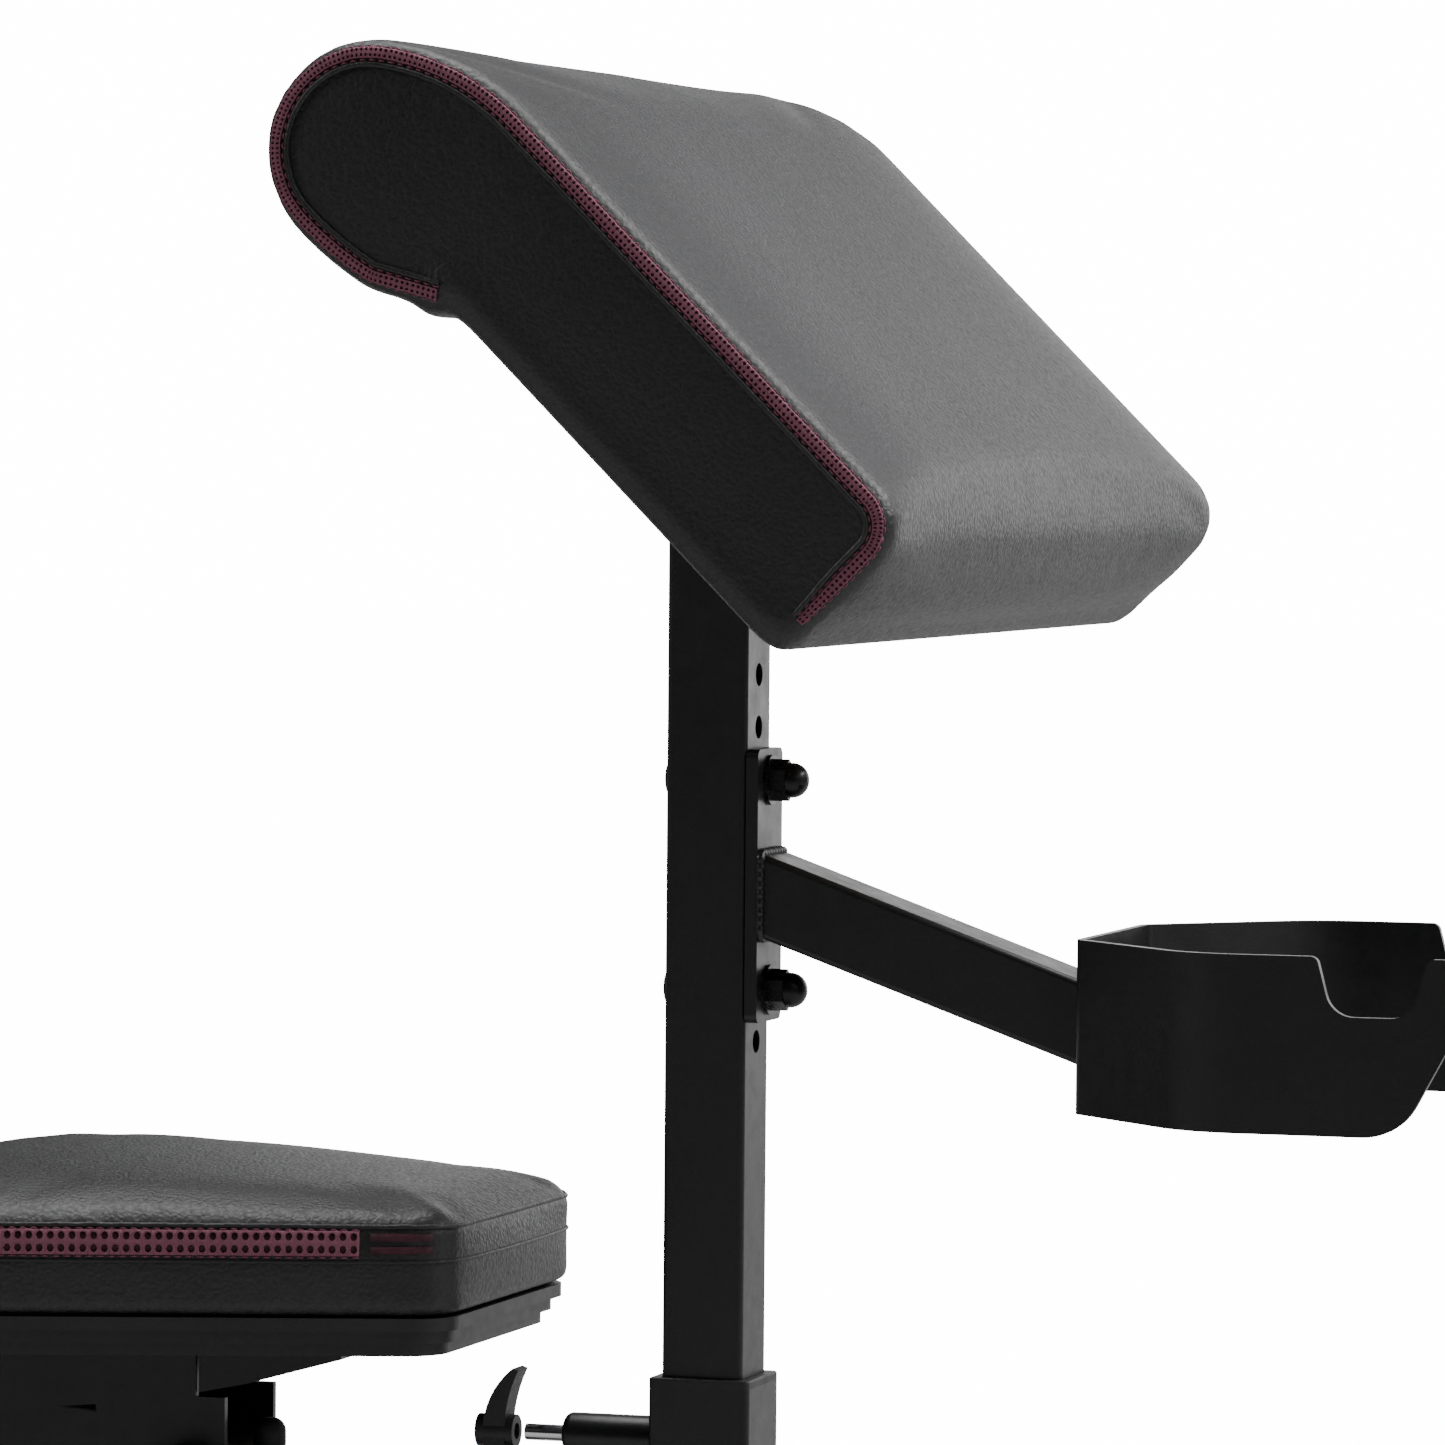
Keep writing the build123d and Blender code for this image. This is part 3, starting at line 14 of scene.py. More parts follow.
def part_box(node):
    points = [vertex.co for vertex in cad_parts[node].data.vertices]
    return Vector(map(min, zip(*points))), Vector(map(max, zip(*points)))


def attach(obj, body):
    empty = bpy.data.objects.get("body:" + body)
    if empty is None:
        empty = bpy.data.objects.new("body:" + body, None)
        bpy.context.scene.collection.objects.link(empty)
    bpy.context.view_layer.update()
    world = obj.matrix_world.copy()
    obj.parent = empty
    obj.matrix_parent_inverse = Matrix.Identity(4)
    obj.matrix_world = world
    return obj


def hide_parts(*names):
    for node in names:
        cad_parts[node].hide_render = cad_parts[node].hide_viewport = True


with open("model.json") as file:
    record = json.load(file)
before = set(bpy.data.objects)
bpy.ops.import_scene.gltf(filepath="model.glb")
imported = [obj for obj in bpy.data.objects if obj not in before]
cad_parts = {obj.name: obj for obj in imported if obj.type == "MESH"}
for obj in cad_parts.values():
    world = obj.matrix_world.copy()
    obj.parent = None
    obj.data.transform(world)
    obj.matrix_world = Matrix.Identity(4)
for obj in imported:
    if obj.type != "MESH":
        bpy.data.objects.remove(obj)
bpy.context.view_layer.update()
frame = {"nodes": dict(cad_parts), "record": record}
nodes = frame["nodes"]
MM = 0.001


# ---------------------------------------------------------------- material building
def new_material(name):
    """A material with its node tree, its principled shader and a coordinate node."""
    material = bpy.data.materials.new(name)
    material.use_nodes = True
    tree = material.node_tree
    shader = tree.nodes["Principled BSDF"]
    place = tree.nodes.new("ShaderNodeTexCoord")
    return material, tree, shader, place


def noise(tree, place, scale, detail=2.0, rough=0.5, socket="Object"):
    """A noise texture over the object's own coordinates."""
    node = tree.nodes.new("ShaderNodeTexNoise")
    node.inputs["Scale"].default_value = scale
    node.inputs["Detail"].default_value = detail
    node.inputs["Roughness"].default_value = rough
    tree.links.new(place.outputs[socket], node.inputs["Vector"])
    return node


def ramp(tree, source, stops):
    """A colour ramp from a list of (position, colour or grey)."""
    node = tree.nodes.new("ShaderNodeValToRGB")
    while len(node.color_ramp.elements) < len(stops):
        node.color_ramp.elements.new(0.5)
    for element, (position, colour) in zip(node.color_ramp.elements, stops):
        element.position = position
        element.color = (*colour, 1) if isinstance(colour, tuple) else (colour, colour, colour, 1)
    tree.links.new(source, node.inputs["Fac"])
    return node


def bump(tree, shader, height, distance, strength, under=None):
    """A bump from a height output, laid over another bump if one is given."""
    node = tree.nodes.new("ShaderNodeBump")
    node.inputs["Distance"].default_value = distance
    node.inputs["Strength"].default_value = strength
    tree.links.new(height, node.inputs["Height"])
    if under is not None:
        tree.links.new(under.outputs["Normal"], node.inputs["Normal"])
    tree.links.new(node.outputs["Normal"], shader.inputs["Normal"])
    return node


def coated(name, dark, light, rough, metallic=0.0, grain=900.0, depth=0.00006, blotch=14.0):
    """A painted, moulded or plated finish: fine skin, slow colour drift and uneven gloss."""
    material, tree, shader, place = new_material(name)
    drift = noise(tree, place, blotch, 4.0, 0.6)
    colour = ramp(tree, drift.outputs["Fac"], [(0.35, dark), (0.7, light)])
    tree.links.new(colour.outputs["Color"], shader.inputs["Base Color"])
    wear = noise(tree, place, blotch * 6, 5.0, 0.65)
    gloss = ramp(tree, wear.outputs["Fac"], [(0.3, rough[0]), (0.75, rough[1])])
    tree.links.new(gloss.outputs["Color"], shader.inputs["Roughness"])
    skin = noise(tree, place, grain, 2.0, 0.5)
    bump(tree, shader, skin.outputs["Fac"], depth, 0.6)
    shader.inputs["Metallic"].default_value = metallic
    return material


def vinyl_material():
    """Black upholstery vinyl: pebbled leather grain, soft creases and a low sheen."""
    material, tree, shader, place = new_material("vinyl")
    drift = noise(tree, place, 6.0, 3.0)
    shades = [(0.3, (0.0105, 0.0105, 0.012)), (0.75, (0.018, 0.018, 0.0205))]
    colour = ramp(tree, drift.outputs["Fac"], shades)
    tree.links.new(colour.outputs["Color"], shader.inputs["Base Color"])
    warp = noise(tree, place, 160.0, 2.0)
    mix = tree.nodes.new("ShaderNodeMix")
    mix.data_type = "VECTOR"
    mix.inputs["Factor"].default_value = 0.004
    tree.links.new(place.outputs["Object"], mix.inputs["A"])
    tree.links.new(warp.outputs["Color"], mix.inputs["B"])
    pebbles = tree.nodes.new("ShaderNodeTexVoronoi")
    pebbles.feature = "SMOOTH_F1"
    pebbles.inputs["Scale"].default_value = 480.0
    pebbles.inputs["Smoothness"].default_value = 0.6
    tree.links.new(mix.outputs["Result"], pebbles.inputs["Vector"])
    creases = noise(tree, place, 42.0, 5.0, 0.6)
    fine = noise(tree, place, 1500.0, 2.0)
    under = bump(tree, shader, creases.outputs["Fac"], 0.0012, 0.35)
    mid = bump(tree, shader, pebbles.outputs["Distance"], 0.0005, 0.55, under)
    bump(tree, shader, fine.outputs["Fac"], 0.00008, 0.5, mid)
    gloss = ramp(tree, pebbles.outputs["Distance"], [(0.0, 0.36), (0.8, 0.55)])
    tree.links.new(gloss.outputs["Color"], shader.inputs["Roughness"])
    shader.inputs["Specular IOR Level"].default_value = 0.55
    return material


def plywood_material():
    """Raw plywood: long streaks along the board and thin plies at its edge."""
    material, tree, shader, place = new_material("plywood")
    stretch = tree.nodes.new("ShaderNodeMapping")
    stretch.inputs["Scale"].default_value = (3.0, 60.0, 60.0)
    tree.links.new(place.outputs["Object"], stretch.inputs["Vector"])
    grain = tree.nodes.new("ShaderNodeTexNoise")
    grain.inputs["Scale"].default_value = 4.0
    grain.inputs["Detail"].default_value = 8.0
    tree.links.new(stretch.outputs["Vector"], grain.inputs["Vector"])
    colour = ramp(tree, grain.outputs["Fac"], [(0.3, (0.23, 0.14, 0.075)), (0.7, (0.44, 0.31, 0.18))])
    tree.links.new(colour.outputs["Color"], shader.inputs["Base Color"])
    shader.inputs["Roughness"].default_value = 0.75
    bump(tree, shader, grain.outputs["Fac"], 0.0004, 0.5)
    return material


def thread_material(name, dark, light, rough=0.7):
    """Twisted yarn: fine diagonal bands across the strand, with a painted highlight on the twist's ridges
    and painted shade in its grooves, over a bump of the same twist.
    """
    material, tree, shader, place = new_material(name)
    twist_and_painted_sheen = tree.nodes.new("ShaderNodeTexWave")
    twist_and_painted_sheen.inputs["Scale"].default_value = 700.0
    twist_and_painted_sheen.inputs["Distortion"].default_value = 3.0
    tree.links.new(place.outputs["Object"], twist_and_painted_sheen.inputs["Vector"])
    # Painted highlight and shade: the bands go lighter on the twist's ridges and darker in its grooves.
    colour = ramp(tree, twist_and_painted_sheen.outputs["Fac"], [(0.2, dark), (0.8, light)])
    tree.links.new(colour.outputs["Color"], shader.inputs["Base Color"])
    shader.inputs["Roughness"].default_value = rough
    bump(tree, shader, twist_and_painted_sheen.outputs["Fac"], 0.0002, 0.7)
    return material


paint = coated("black_powder_coat", (0.0075, 0.0075, 0.008), (0.0115, 0.0115, 0.0125), (0.3, 0.42),
               depth=0.00007)
moulded = coated("black_moulding", (0.011, 0.011, 0.012), (0.017, 0.017, 0.018), (0.45, 0.6), grain=1600)
shell_plastic = coated("shell_moulding", (0.014, 0.014, 0.015), (0.022, 0.022, 0.023), (0.4, 0.52),
                       grain=1300)
oxide = coated("black_oxide", (0.01, 0.01, 0.01), (0.02, 0.02, 0.02), (0.22, 0.38), metallic=0.5,
               grain=1800)
chrome = coated("chrome", (0.68, 0.68, 0.7), (0.8, 0.8, 0.82), (0.06, 0.16), metallic=1.0, grain=2500,
                depth=0.00001)
spring_steel = coated("spring_steel", (0.4, 0.4, 0.42), (0.55, 0.55, 0.57), (0.25, 0.4), metallic=1.0,
                      grain=2500)
rubber = coated("rubber", (0.012, 0.012, 0.012), (0.02, 0.02, 0.02), (0.62, 0.8), grain=1400, depth=0.00008)
plywood = plywood_material()
vinyl = vinyl_material()
# The net and the stitch thread carry a painted highlight and painted shade in their twist bands.
maroon_net = thread_material("maroon_net", (0.13, 0.028, 0.05), (0.42, 0.15, 0.22))
maroon_cloth = coated("maroon_cloth", (0.035, 0.004, 0.012), (0.07, 0.009, 0.022), (0.6, 0.8), grain=2600,
                      depth=0.0003, blotch=60)
maroon_thread = thread_material("maroon_thread", (0.16, 0.03, 0.06), (0.34, 0.11, 0.17))
weld_steel = coated("weld_bead", (0.01, 0.01, 0.0105), (0.018, 0.018, 0.019), (0.28, 0.4), grain=700,
                    depth=0.0002)

FINISHES = {
    "frame_paint": paint,
    "vinyl": vinyl,
    "board": plywood,
    "rubber": rubber,
    "plastic": moulded,
    "shell": shell_plastic,
    "chrome": chrome,
    "black_fastener": oxide,
    "spring": spring_steel,
}
BEVELS = {"black_fastener": 0.3 * MM, "chrome": 0.2 * MM, "frame_paint": 0.6 * MM, "rubber": 0.8 * MM}
OTHER_BEVEL = 0.5 * MM
for part in frame["record"]["subparts"]:
    node = nodes[part["node"]]
    node.data.materials.clear()
    node.data.materials.append(FINISHES[part["material_slot"]])
    if part["material_slot"] not in ("vinyl", "spring"):
        bevel = node.modifiers.new("edges", "BEVEL")
        bevel.width = BEVELS.get(part["material_slot"], OTHER_BEVEL)
        bevel.segments = 2
        bevel.limit_method = "ANGLE"
        bevel.angle_limit = math.radians(40)


# ---------------------------------------------------------------- upholstery
# A direction that no strand runs along, to turn each strand's round section from.
ASIDE = Vector((0.3, 0.2, 0.93))
CLOTH_FRAMES = 20
CLOTH_PRESSURE = 4.0


def mesh_object(name, verts, faces, material, smooth=True):
    """A new object from plain lists of points and faces."""
    mesh = bpy.data.meshes.new(name)
    mesh.from_pydata([tuple(v) for v in verts], [], faces)
    mesh.materials.append(material)
    for polygon in mesh.polygons:
        polygon.use_smooth = smooth
    made = bpy.data.objects.new(name, mesh)
    bpy.context.scene.collection.objects.link(made)
    return made


def apply_modifiers(made):
    """Bakes an object's modifiers into its mesh."""
    graph = bpy.context.evaluated_depsgraph_get()
    baked = bpy.data.meshes.new_from_object(made.evaluated_get(graph))
    made.modifiers.clear()
    made.data = baked


def slice_loop(mesh_source, point, normal):
    """The longest closed outline where a plane cuts an object, as ordered points."""
    cut = bmesh.new()
    cut.from_mesh(mesh_source.data)
    cut.transform(mesh_source.matrix_world)
    found = bmesh.ops.bisect_plane(cut, geom=cut.verts[:] + cut.edges[:] + cut.faces[:],
                                   plane_co=point, plane_no=normal, dist=1e-6)
    edges = [e for e in found["geom_cut"] if isinstance(e, bmesh.types.BMEdge)]
    links = {}
    for edge in edges:
        a, b = (tuple(round(c, 7) for c in v.co) for v in edge.verts)
        if a != b:
            links.setdefault(a, []).append(b)
            links.setdefault(b, []).append(a)
    cut.free()
    loops = []
    unused = set(links)
    while unused:
        start = min(unused)
        loop = [start]
        unused.discard(start)
        here = start
        while True:
            onward = [n for n in sorted(links[here]) if n in unused]
            if not onward:
                break
            here = onward[0]
            unused.discard(here)
            loop.append(here)
        loops.append([Vector(p) for p in loop])
    return max(loops, key=lambda loop: sum((a - b).length for a, b in zip(loop, loop[1:] + loop[:1])))


def even_steps(points, step, closed=True):
    """Points at an even spacing along a line through the given ones."""
    line = list(points) + ([points[0]] if closed else [])
    runs = [(b - a).length for a, b in zip(line, line[1:])]
    total = sum(runs)
    count = max(3, round(total / step))
    places = [total * i / count for i in range(count if closed else count + 1)]
    out = []
    index, passed = 0, 0.0
    for place in places:
        while index < len(runs) - 1 and passed + runs[index] < place:
            passed += runs[index]
            index += 1
        share = (place - passed) / runs[index] if runs[index] else 0
        out.append(line[index].lerp(line[index + 1], min(max(share, 0), 1)))
    return out


def inflate(node_name, voxel, cap, held, shrink, shape=None):
    """A stuffed copy of a CAD pad: it starts a little smaller and swells wherever held() leaves it free."""
    source = nodes[node_name]
    mesh = source.data.copy()
    mesh.transform(source.matrix_world)
    mesh.materials.clear()
    pad = bpy.data.objects.new(node_name.replace("_", " ").title().replace(" ", "") + "Cushion", mesh)
    bpy.context.scene.collection.objects.link(pad)
    remesh = pad.modifiers.new("even", "REMESH")
    remesh.mode = "VOXEL"
    remesh.voxel_size = voxel
    apply_modifiers(pad)
    mesh = pad.data
    count = len(mesh.vertices)
    rest = np.empty(count * 3)
    mesh.vertices.foreach_get("co", rest)
    rest = rest.reshape(-1, 3)
    normals = np.empty(count * 3)
    mesh.vertex_normals.foreach_get("vector", normals)
    normals = normals.reshape(-1, 3)
    pinned = np.array([held(Vector(p), Vector(n)) for p, n in zip(rest, normals)])
    rest = rest - normals * (shrink * (1 - pinned))[:, None]
    if shape is not None:
        rest += np.array([shape(Vector(p), Vector(n)) for p, n in zip(rest, normals)])
    mesh.vertices.foreach_set("co", rest.ravel())
    group = pad.vertex_groups.new(name="held")
    for index in np.nonzero(pinned > 0.02)[0]:
        group.add([int(index)], float(pinned[index]), "REPLACE")
    cloth = pad.modifiers.new("cloth", "CLOTH")
    cloth.settings.quality = 4
    cloth.settings.use_pressure = True
    cloth.settings.uniform_pressure_force = CLOTH_PRESSURE
    cloth.settings.tension_stiffness = 18
    cloth.settings.compression_stiffness = 12
    cloth.settings.bending_stiffness = 0.6
    cloth.settings.vertex_group_mass = "held"
    cloth.settings.effector_weights.gravity = 0
    cloth.collision_settings.use_collision = False
    cloth.collision_settings.use_self_collision = False
    cloth.point_cache.frame_start = 1
    cloth.point_cache.frame_end = CLOTH_FRAMES
    for step in range(1, CLOTH_FRAMES + 1):
        bpy.context.scene.frame_set(step)
    graph = bpy.context.evaluated_depsgraph_get()
    swollen = pad.evaluated_get(graph).data
    moved = np.empty(count * 3)
    swollen.vertices.foreach_get("co", moved)
    shift = moved.reshape(-1, 3) - rest
    pad.modifiers.clear()
    bpy.context.scene.frame_set(1)
    far = np.linalg.norm(shift, axis=1)
    soft = cap * np.tanh(far / cap)
    shift *= np.where(far > 1e-9, soft / np.maximum(far, 1e-9), 1)[:, None]
    mesh.vertices.foreach_set("co", (rest + shift).ravel())
    smooth = pad.modifiers.new("smooth", "CORRECTIVE_SMOOTH")
    smooth.iterations = 4
    smooth.use_only_smooth = True
    apply_modifiers(pad)
    finer = pad.modifiers.new("finer", "SUBSURF")
    finer.levels = 1
    apply_modifiers(pad)
    pad.vertex_groups.clear()
    for polygon in pad.data.polygons:
        polygon.use_smooth = True
    pad.data.materials.clear()
    pad.data.materials.append(vinyl)
    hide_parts(node_name)
    return pad


class Skin:
    """The surface of a finished pad, for laying trim on it."""

    def __init__(self, pad):
        self.tree = BVHTree.FromObject(pad, bpy.context.evaluated_depsgraph_get())

    def lay(self, point, lift):
        place, normal, _, _ = self.tree.find_nearest(point)
        return place + normal * lift


def net_ribbon(name, skin, rows, hole, lift, material, thick=0.0006):
    """A perforated strip: rows are lines of points across the strip, and each cell has a rounded hole."""
    verts, faces = [], []
    corner = [(0, 0), (0.5, 0), (1, 0), (1, 0.5), (1, 1), (0.5, 1), (0, 1), (0, 0.5)]
    sides = len(corner)
    for low_row, high_row in zip(rows, rows[1:]):
        for i in range(len(low_row) - 1):
            a, b, c, d = low_row[i], low_row[i + 1], high_row[i + 1], high_row[i]
            base = len(verts)
            for u, v in corner:
                verts.append(skin.lay(a.lerp(b, u).lerp(d.lerp(c, u), v), lift))
            for u, v in corner:
                angle = math.atan2(v - 0.5, u - 0.5)
                iu, iv = 0.5 + hole * 0.5 * math.cos(angle), 0.5 + hole * 0.5 * math.sin(angle)
                verts.append(skin.lay(a.lerp(b, iu).lerp(d.lerp(c, iu), iv), lift + thick * 0.6))
            for k in range(sides):
                n = (k + 1) % sides
                faces.append((base + k, base + n, base + sides + n, base + sides + k))
    ribbon = mesh_object(name, verts, faces, material)
    weld = ribbon.modifiers.new("weld", "WELD")
    weld.merge_threshold = 0.00005
    solid = ribbon.modifiers.new("thick", "SOLIDIFY")
    solid.thickness = thick
    solid.offset = 0.0
    apply_modifiers(ribbon)
    return ribbon


def plain_ribbon(name, skin, rows, lift, material, thick=0.0008):
    """A plain strip laid on a pad."""
    verts, faces = [], []
    width = len(rows[0])
    for row in rows:
        verts += [skin.lay(p, lift) for p in row]
    for r in range(len(rows) - 1):
        for i in range(width - 1):
            base = r * width + i
            faces.append((base, base + 1, base + width + 1, base + width))
    ribbon = mesh_object(name, verts, faces, material)
    solid = ribbon.modifiers.new("thick", "SOLIDIFY")
    solid.thickness = thick
    solid.offset = 0.0
    apply_modifiers(ribbon)
    return ribbon


def tube_along(name, points, radius, material, sides=8, closed=False, ripple=0.0, period=0.004):
    """A round cord, bead or pipe along a line of points."""
    verts, faces = [], []
    count = len(points)
    run = 0.0
    for i, point in enumerate(points):
        before = points[i - 1] if i or closed else points[i]
        after = points[(i + 1) % count] if i < count - 1 or closed else points[i]
        along = (after - before).normalized()
        run += (point - points[i - 1]).length if i else 0.0
        side = along.cross(ASIDE).normalized()
        other = along.cross(side)
        width = radius * (1 + ripple * math.sin(2 * math.pi * run / period))
        for k in range(sides):
            turn = 2 * math.pi * k / sides
            verts.append(point + (side * math.cos(turn) + other * math.sin(turn)) * width)
    for i in range(count if closed else count - 1):
        for k in range(sides):
            a, b = i * sides + k, i * sides + (k + 1) % sides
            c, d = ((i + 1) % count) * sides + (k + 1) % sides, ((i + 1) % count) * sides + k
            faces.append((a, b, c, d))
    if not closed:
        faces.append(tuple(reversed(range(sides))))
        faces.append(tuple((count - 1) * sides + k for k in range(sides)))
    return mesh_object(name, verts, faces, material)


def stitches(name, skin, line, pitch, length, radius, lift, material):
    """A row of short thread stitches that dip into the cover at both ends."""
    verts, faces = [], []
    places = even_steps(line, pitch, closed=False)
    sides, steps = 6, 5
    for here, onward in zip(places, places[1:]):
        along = (onward - here).normalized()
        base = len(verts)
        for s in range(steps):
            share = s / (steps - 1)
            rise = math.sin(math.pi * share) * 1.3 - 0.3
            middle = skin.lay(here + along * length * share, lift * rise)
            side = along.cross(ASIDE).normalized()
            other = along.cross(side)
            for k in range(sides):
                turn = 2 * math.pi * k / sides
                verts.append(middle + (side * math.cos(turn) + other * math.sin(turn)) * radius)
        for s in range(steps - 1):
            for k in range(sides):
                a, b = base + s * sides + k, base + s * sides + (k + 1) % sides
                faces.append((a, b, b + sides, a + sides))
        faces.append(tuple(base + k for k in reversed(range(sides))))
        faces.append(tuple(base + (steps - 1) * sides + k for k in range(sides)))
    return mesh_object(name, verts, faces, material)


def trim(piece, body):
    """A strip, cord or seam on a pad rides its body."""
    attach(piece, body)


# ---------------------------------------------------------------- curl pad
# Its covered side panels meet the wrap along a seam on the rounded edge. The pad slopes down at 45 degrees.
curl_low, curl_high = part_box("curl_pad")
slope = Vector((1, 0, -1)).normalized()
outward = Vector((1, 0, 1)).normalized()
under = min(v.co.dot(outward) for v in nodes["curl_pad_board"].data.vertices)
front_end = max((nodes["curl_pad"].matrix_world @ v.co).dot(slope) for v in nodes["curl_pad"].data.vertices)
CURL_EDGE = 0.012  # edge radius of the CAD solid
CURL_ROLL = 0.020  # edge radius of the stuffed pad
CURL_PUFF = 0.0045  # how far the wrap stands out over its foam
FRONT_TO_THROAT = 0.222  # along the slope, from the pad's front end to the notch behind its nose
STAPLED = (0.001, 0.03)  # heights over the board between which the cover comes free of it
EDGE_FADE = (0.012, 0.05)  # heights over the board between which the soft edge begins
NET_ANGLES = (57, 65, 73)
STITCH_ANGLES = (54, 76)
PIPING_ANGLE = 82
curl_half = (curl_high.y - curl_low.y) / 2
throat_reach = front_end - FRONT_TO_THROAT


def turn_sign(loop):
    """Which way a closed outline in X and Z runs."""
    area = sum(a.x * b.z - b.x * a.z for a, b in zip(loop, loop[1:] + loop[:1]))
    return 1 if area > 0 else -1


def smooth_step(value, low, high):
    """0 below low, 1 above high and a smooth rise between."""
    share = min(max((value - low) / (high - low), 0.0), 1.0)
    return share * share * (3 - 2 * share)


outline = slice_loop(nodes["curl_pad"], Vector((0, 0.1, 0)), Vector((0, 1, 0)))
outline = even_steps(outline, 0.0026)
start = min(range(len(outline)), key=lambda i: (outline[i] - slope * front_end - outward * under).length)
outline = outline[start:] + outline[:start]
if turn_sign(outline) > 0:
    outline = outline[:1] + outline[:0:-1]
inwards = []
for i, point in enumerate(outline):
    along = (outline[(i + 1) % len(outline)] - outline[i - 1]).normalized()
    inwards.append(Vector((-along.z, 0, along.x)))
middle = sum(outline, Vector()) / len(outline)
if sum(w.dot(middle - p) for w, p in zip(inwards, outline)) < 0:
    inwards = [-w for w in inwards]
outline_tree = KDTree(len(outline))
for i, point in enumerate(outline):
    outline_tree.insert(Vector((point.x, 0, point.z)), i)
outline_tree.balance()


def free_edge(place):
    """0 on the flat underside, where the side panels go round to the board, and 1 elsewhere."""
    if place.dot(slope) < throat_reach:
        return 1.0
    return smooth_step(place.dot(outward) - under, *EDGE_FADE)


def roll_drop(depth, radius):
    """How far a rounded edge has dropped at a depth in from the side."""
    return radius - math.sqrt(max(radius * radius - (radius - depth) ** 2, 0)) if depth < radius else 0.0


def softer_edge(place, normal):
    """Puffs the wrap out over its foam and rounds its edges more than the CAD solid does."""
    depth = max(min(place.y - curl_low.y, curl_high.y - place.y), 0.0)
    _, index, away = outline_tree.find(Vector((place.x, 0, place.z)))
    drop = roll_drop(depth, CURL_ROLL) - roll_drop(depth, CURL_EDGE) - CURL_PUFF
    return inwards[index] * drop * free_edge(place) * max(0.0, 1 - away / 0.06)


def curl_held(place, normal):
    """1 where the curl pad's cover is stapled to its board, and a part where the seams hold it."""
    flat = 0.0
    if place.dot(slope) > throat_reach - 0.01:
        flat = 1 - smooth_step(place.dot(outward) - under, *STAPLED)
    side = min(place.y - curl_low.y, curl_high.y - place.y)
    seam = 0.9 if side < 0.010 and 0.3 < abs(normal.y) < 0.93 else 0.0
    return max(flat, seam)


curl_cushion = inflate("curl_pad", voxel=0.005, cap=0.006, held=curl_held, shrink=0.0035, shape=softer_edge)
curl_skin = Skin(curl_cushion)


def edge_lines(angles, sign):
    """Lines round one end of the curl pad, each at its angle on the rounded edge, 90 degrees on the side."""
    lines = [[] for _ in angles]
    for point, inward in zip(outline, inwards):
        radius = CURL_EDGE + (CURL_ROLL - CURL_EDGE) * free_edge(point)
        for line, angle in zip(lines, angles):
            drop = radius * (1 - math.cos(angle)) - CURL_PUFF * free_edge(point)
            reach = curl_half - radius * (1 - math.sin(angle))
            line.append(Vector((point.x, 0, point.z)) + inward * drop + Vector((0, sign * reach, 0)))
    return lines


for side, sign in (("right", -1), ("left", 1)):
    angles = [math.radians(angle) for angle in (*NET_ANGLES, *STITCH_ANGLES, PIPING_ANGLE)]
    lines = edge_lines(angles, sign)
    shown = [i for i in range(len(outline)) if outline[i].dot(outward) > under + 0.02
             or outline[i].dot(slope) < throat_reach]
    first = min(i for i in shown if i > 0)
    *net_lines, upper_line, lower_line, pipe_line = [line[first:max(shown) + 1] for line in lines]
    band = list(zip(*net_lines))
    trim(plain_ribbon(f"curl_{side}_band_back", curl_skin, band, 0.0003, maroon_cloth), "curl_station")
    trim(net_ribbon(f"curl_{side}_band_net", curl_skin, band, 0.62, 0.0009, maroon_net), "curl_station")
    for row, line, radius in (("band", lower_line, 0.00045), ("top", upper_line, 0.0004)):
        trim(stitches(f"curl_{side}_{row}_stitches", curl_skin, line, pitch=0.0045, length=0.0032,
                      radius=radius, lift=0.0009, material=maroon_thread), "curl_station")
    piping = [curl_skin.lay(p, 0.0004) for p in pipe_line]
    trim(tube_along(f"curl_{side}_piping", piping, 0.0014, vinyl), "curl_station")
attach(curl_cushion, "curl_station")


# ---------------------------------------------------------------- seat and back cushions
STRIP_TOP = 0.013
STRIP_PITCH = 0.006
STRIP_ROWS = 2
CUSHION_SWELL = 0.006


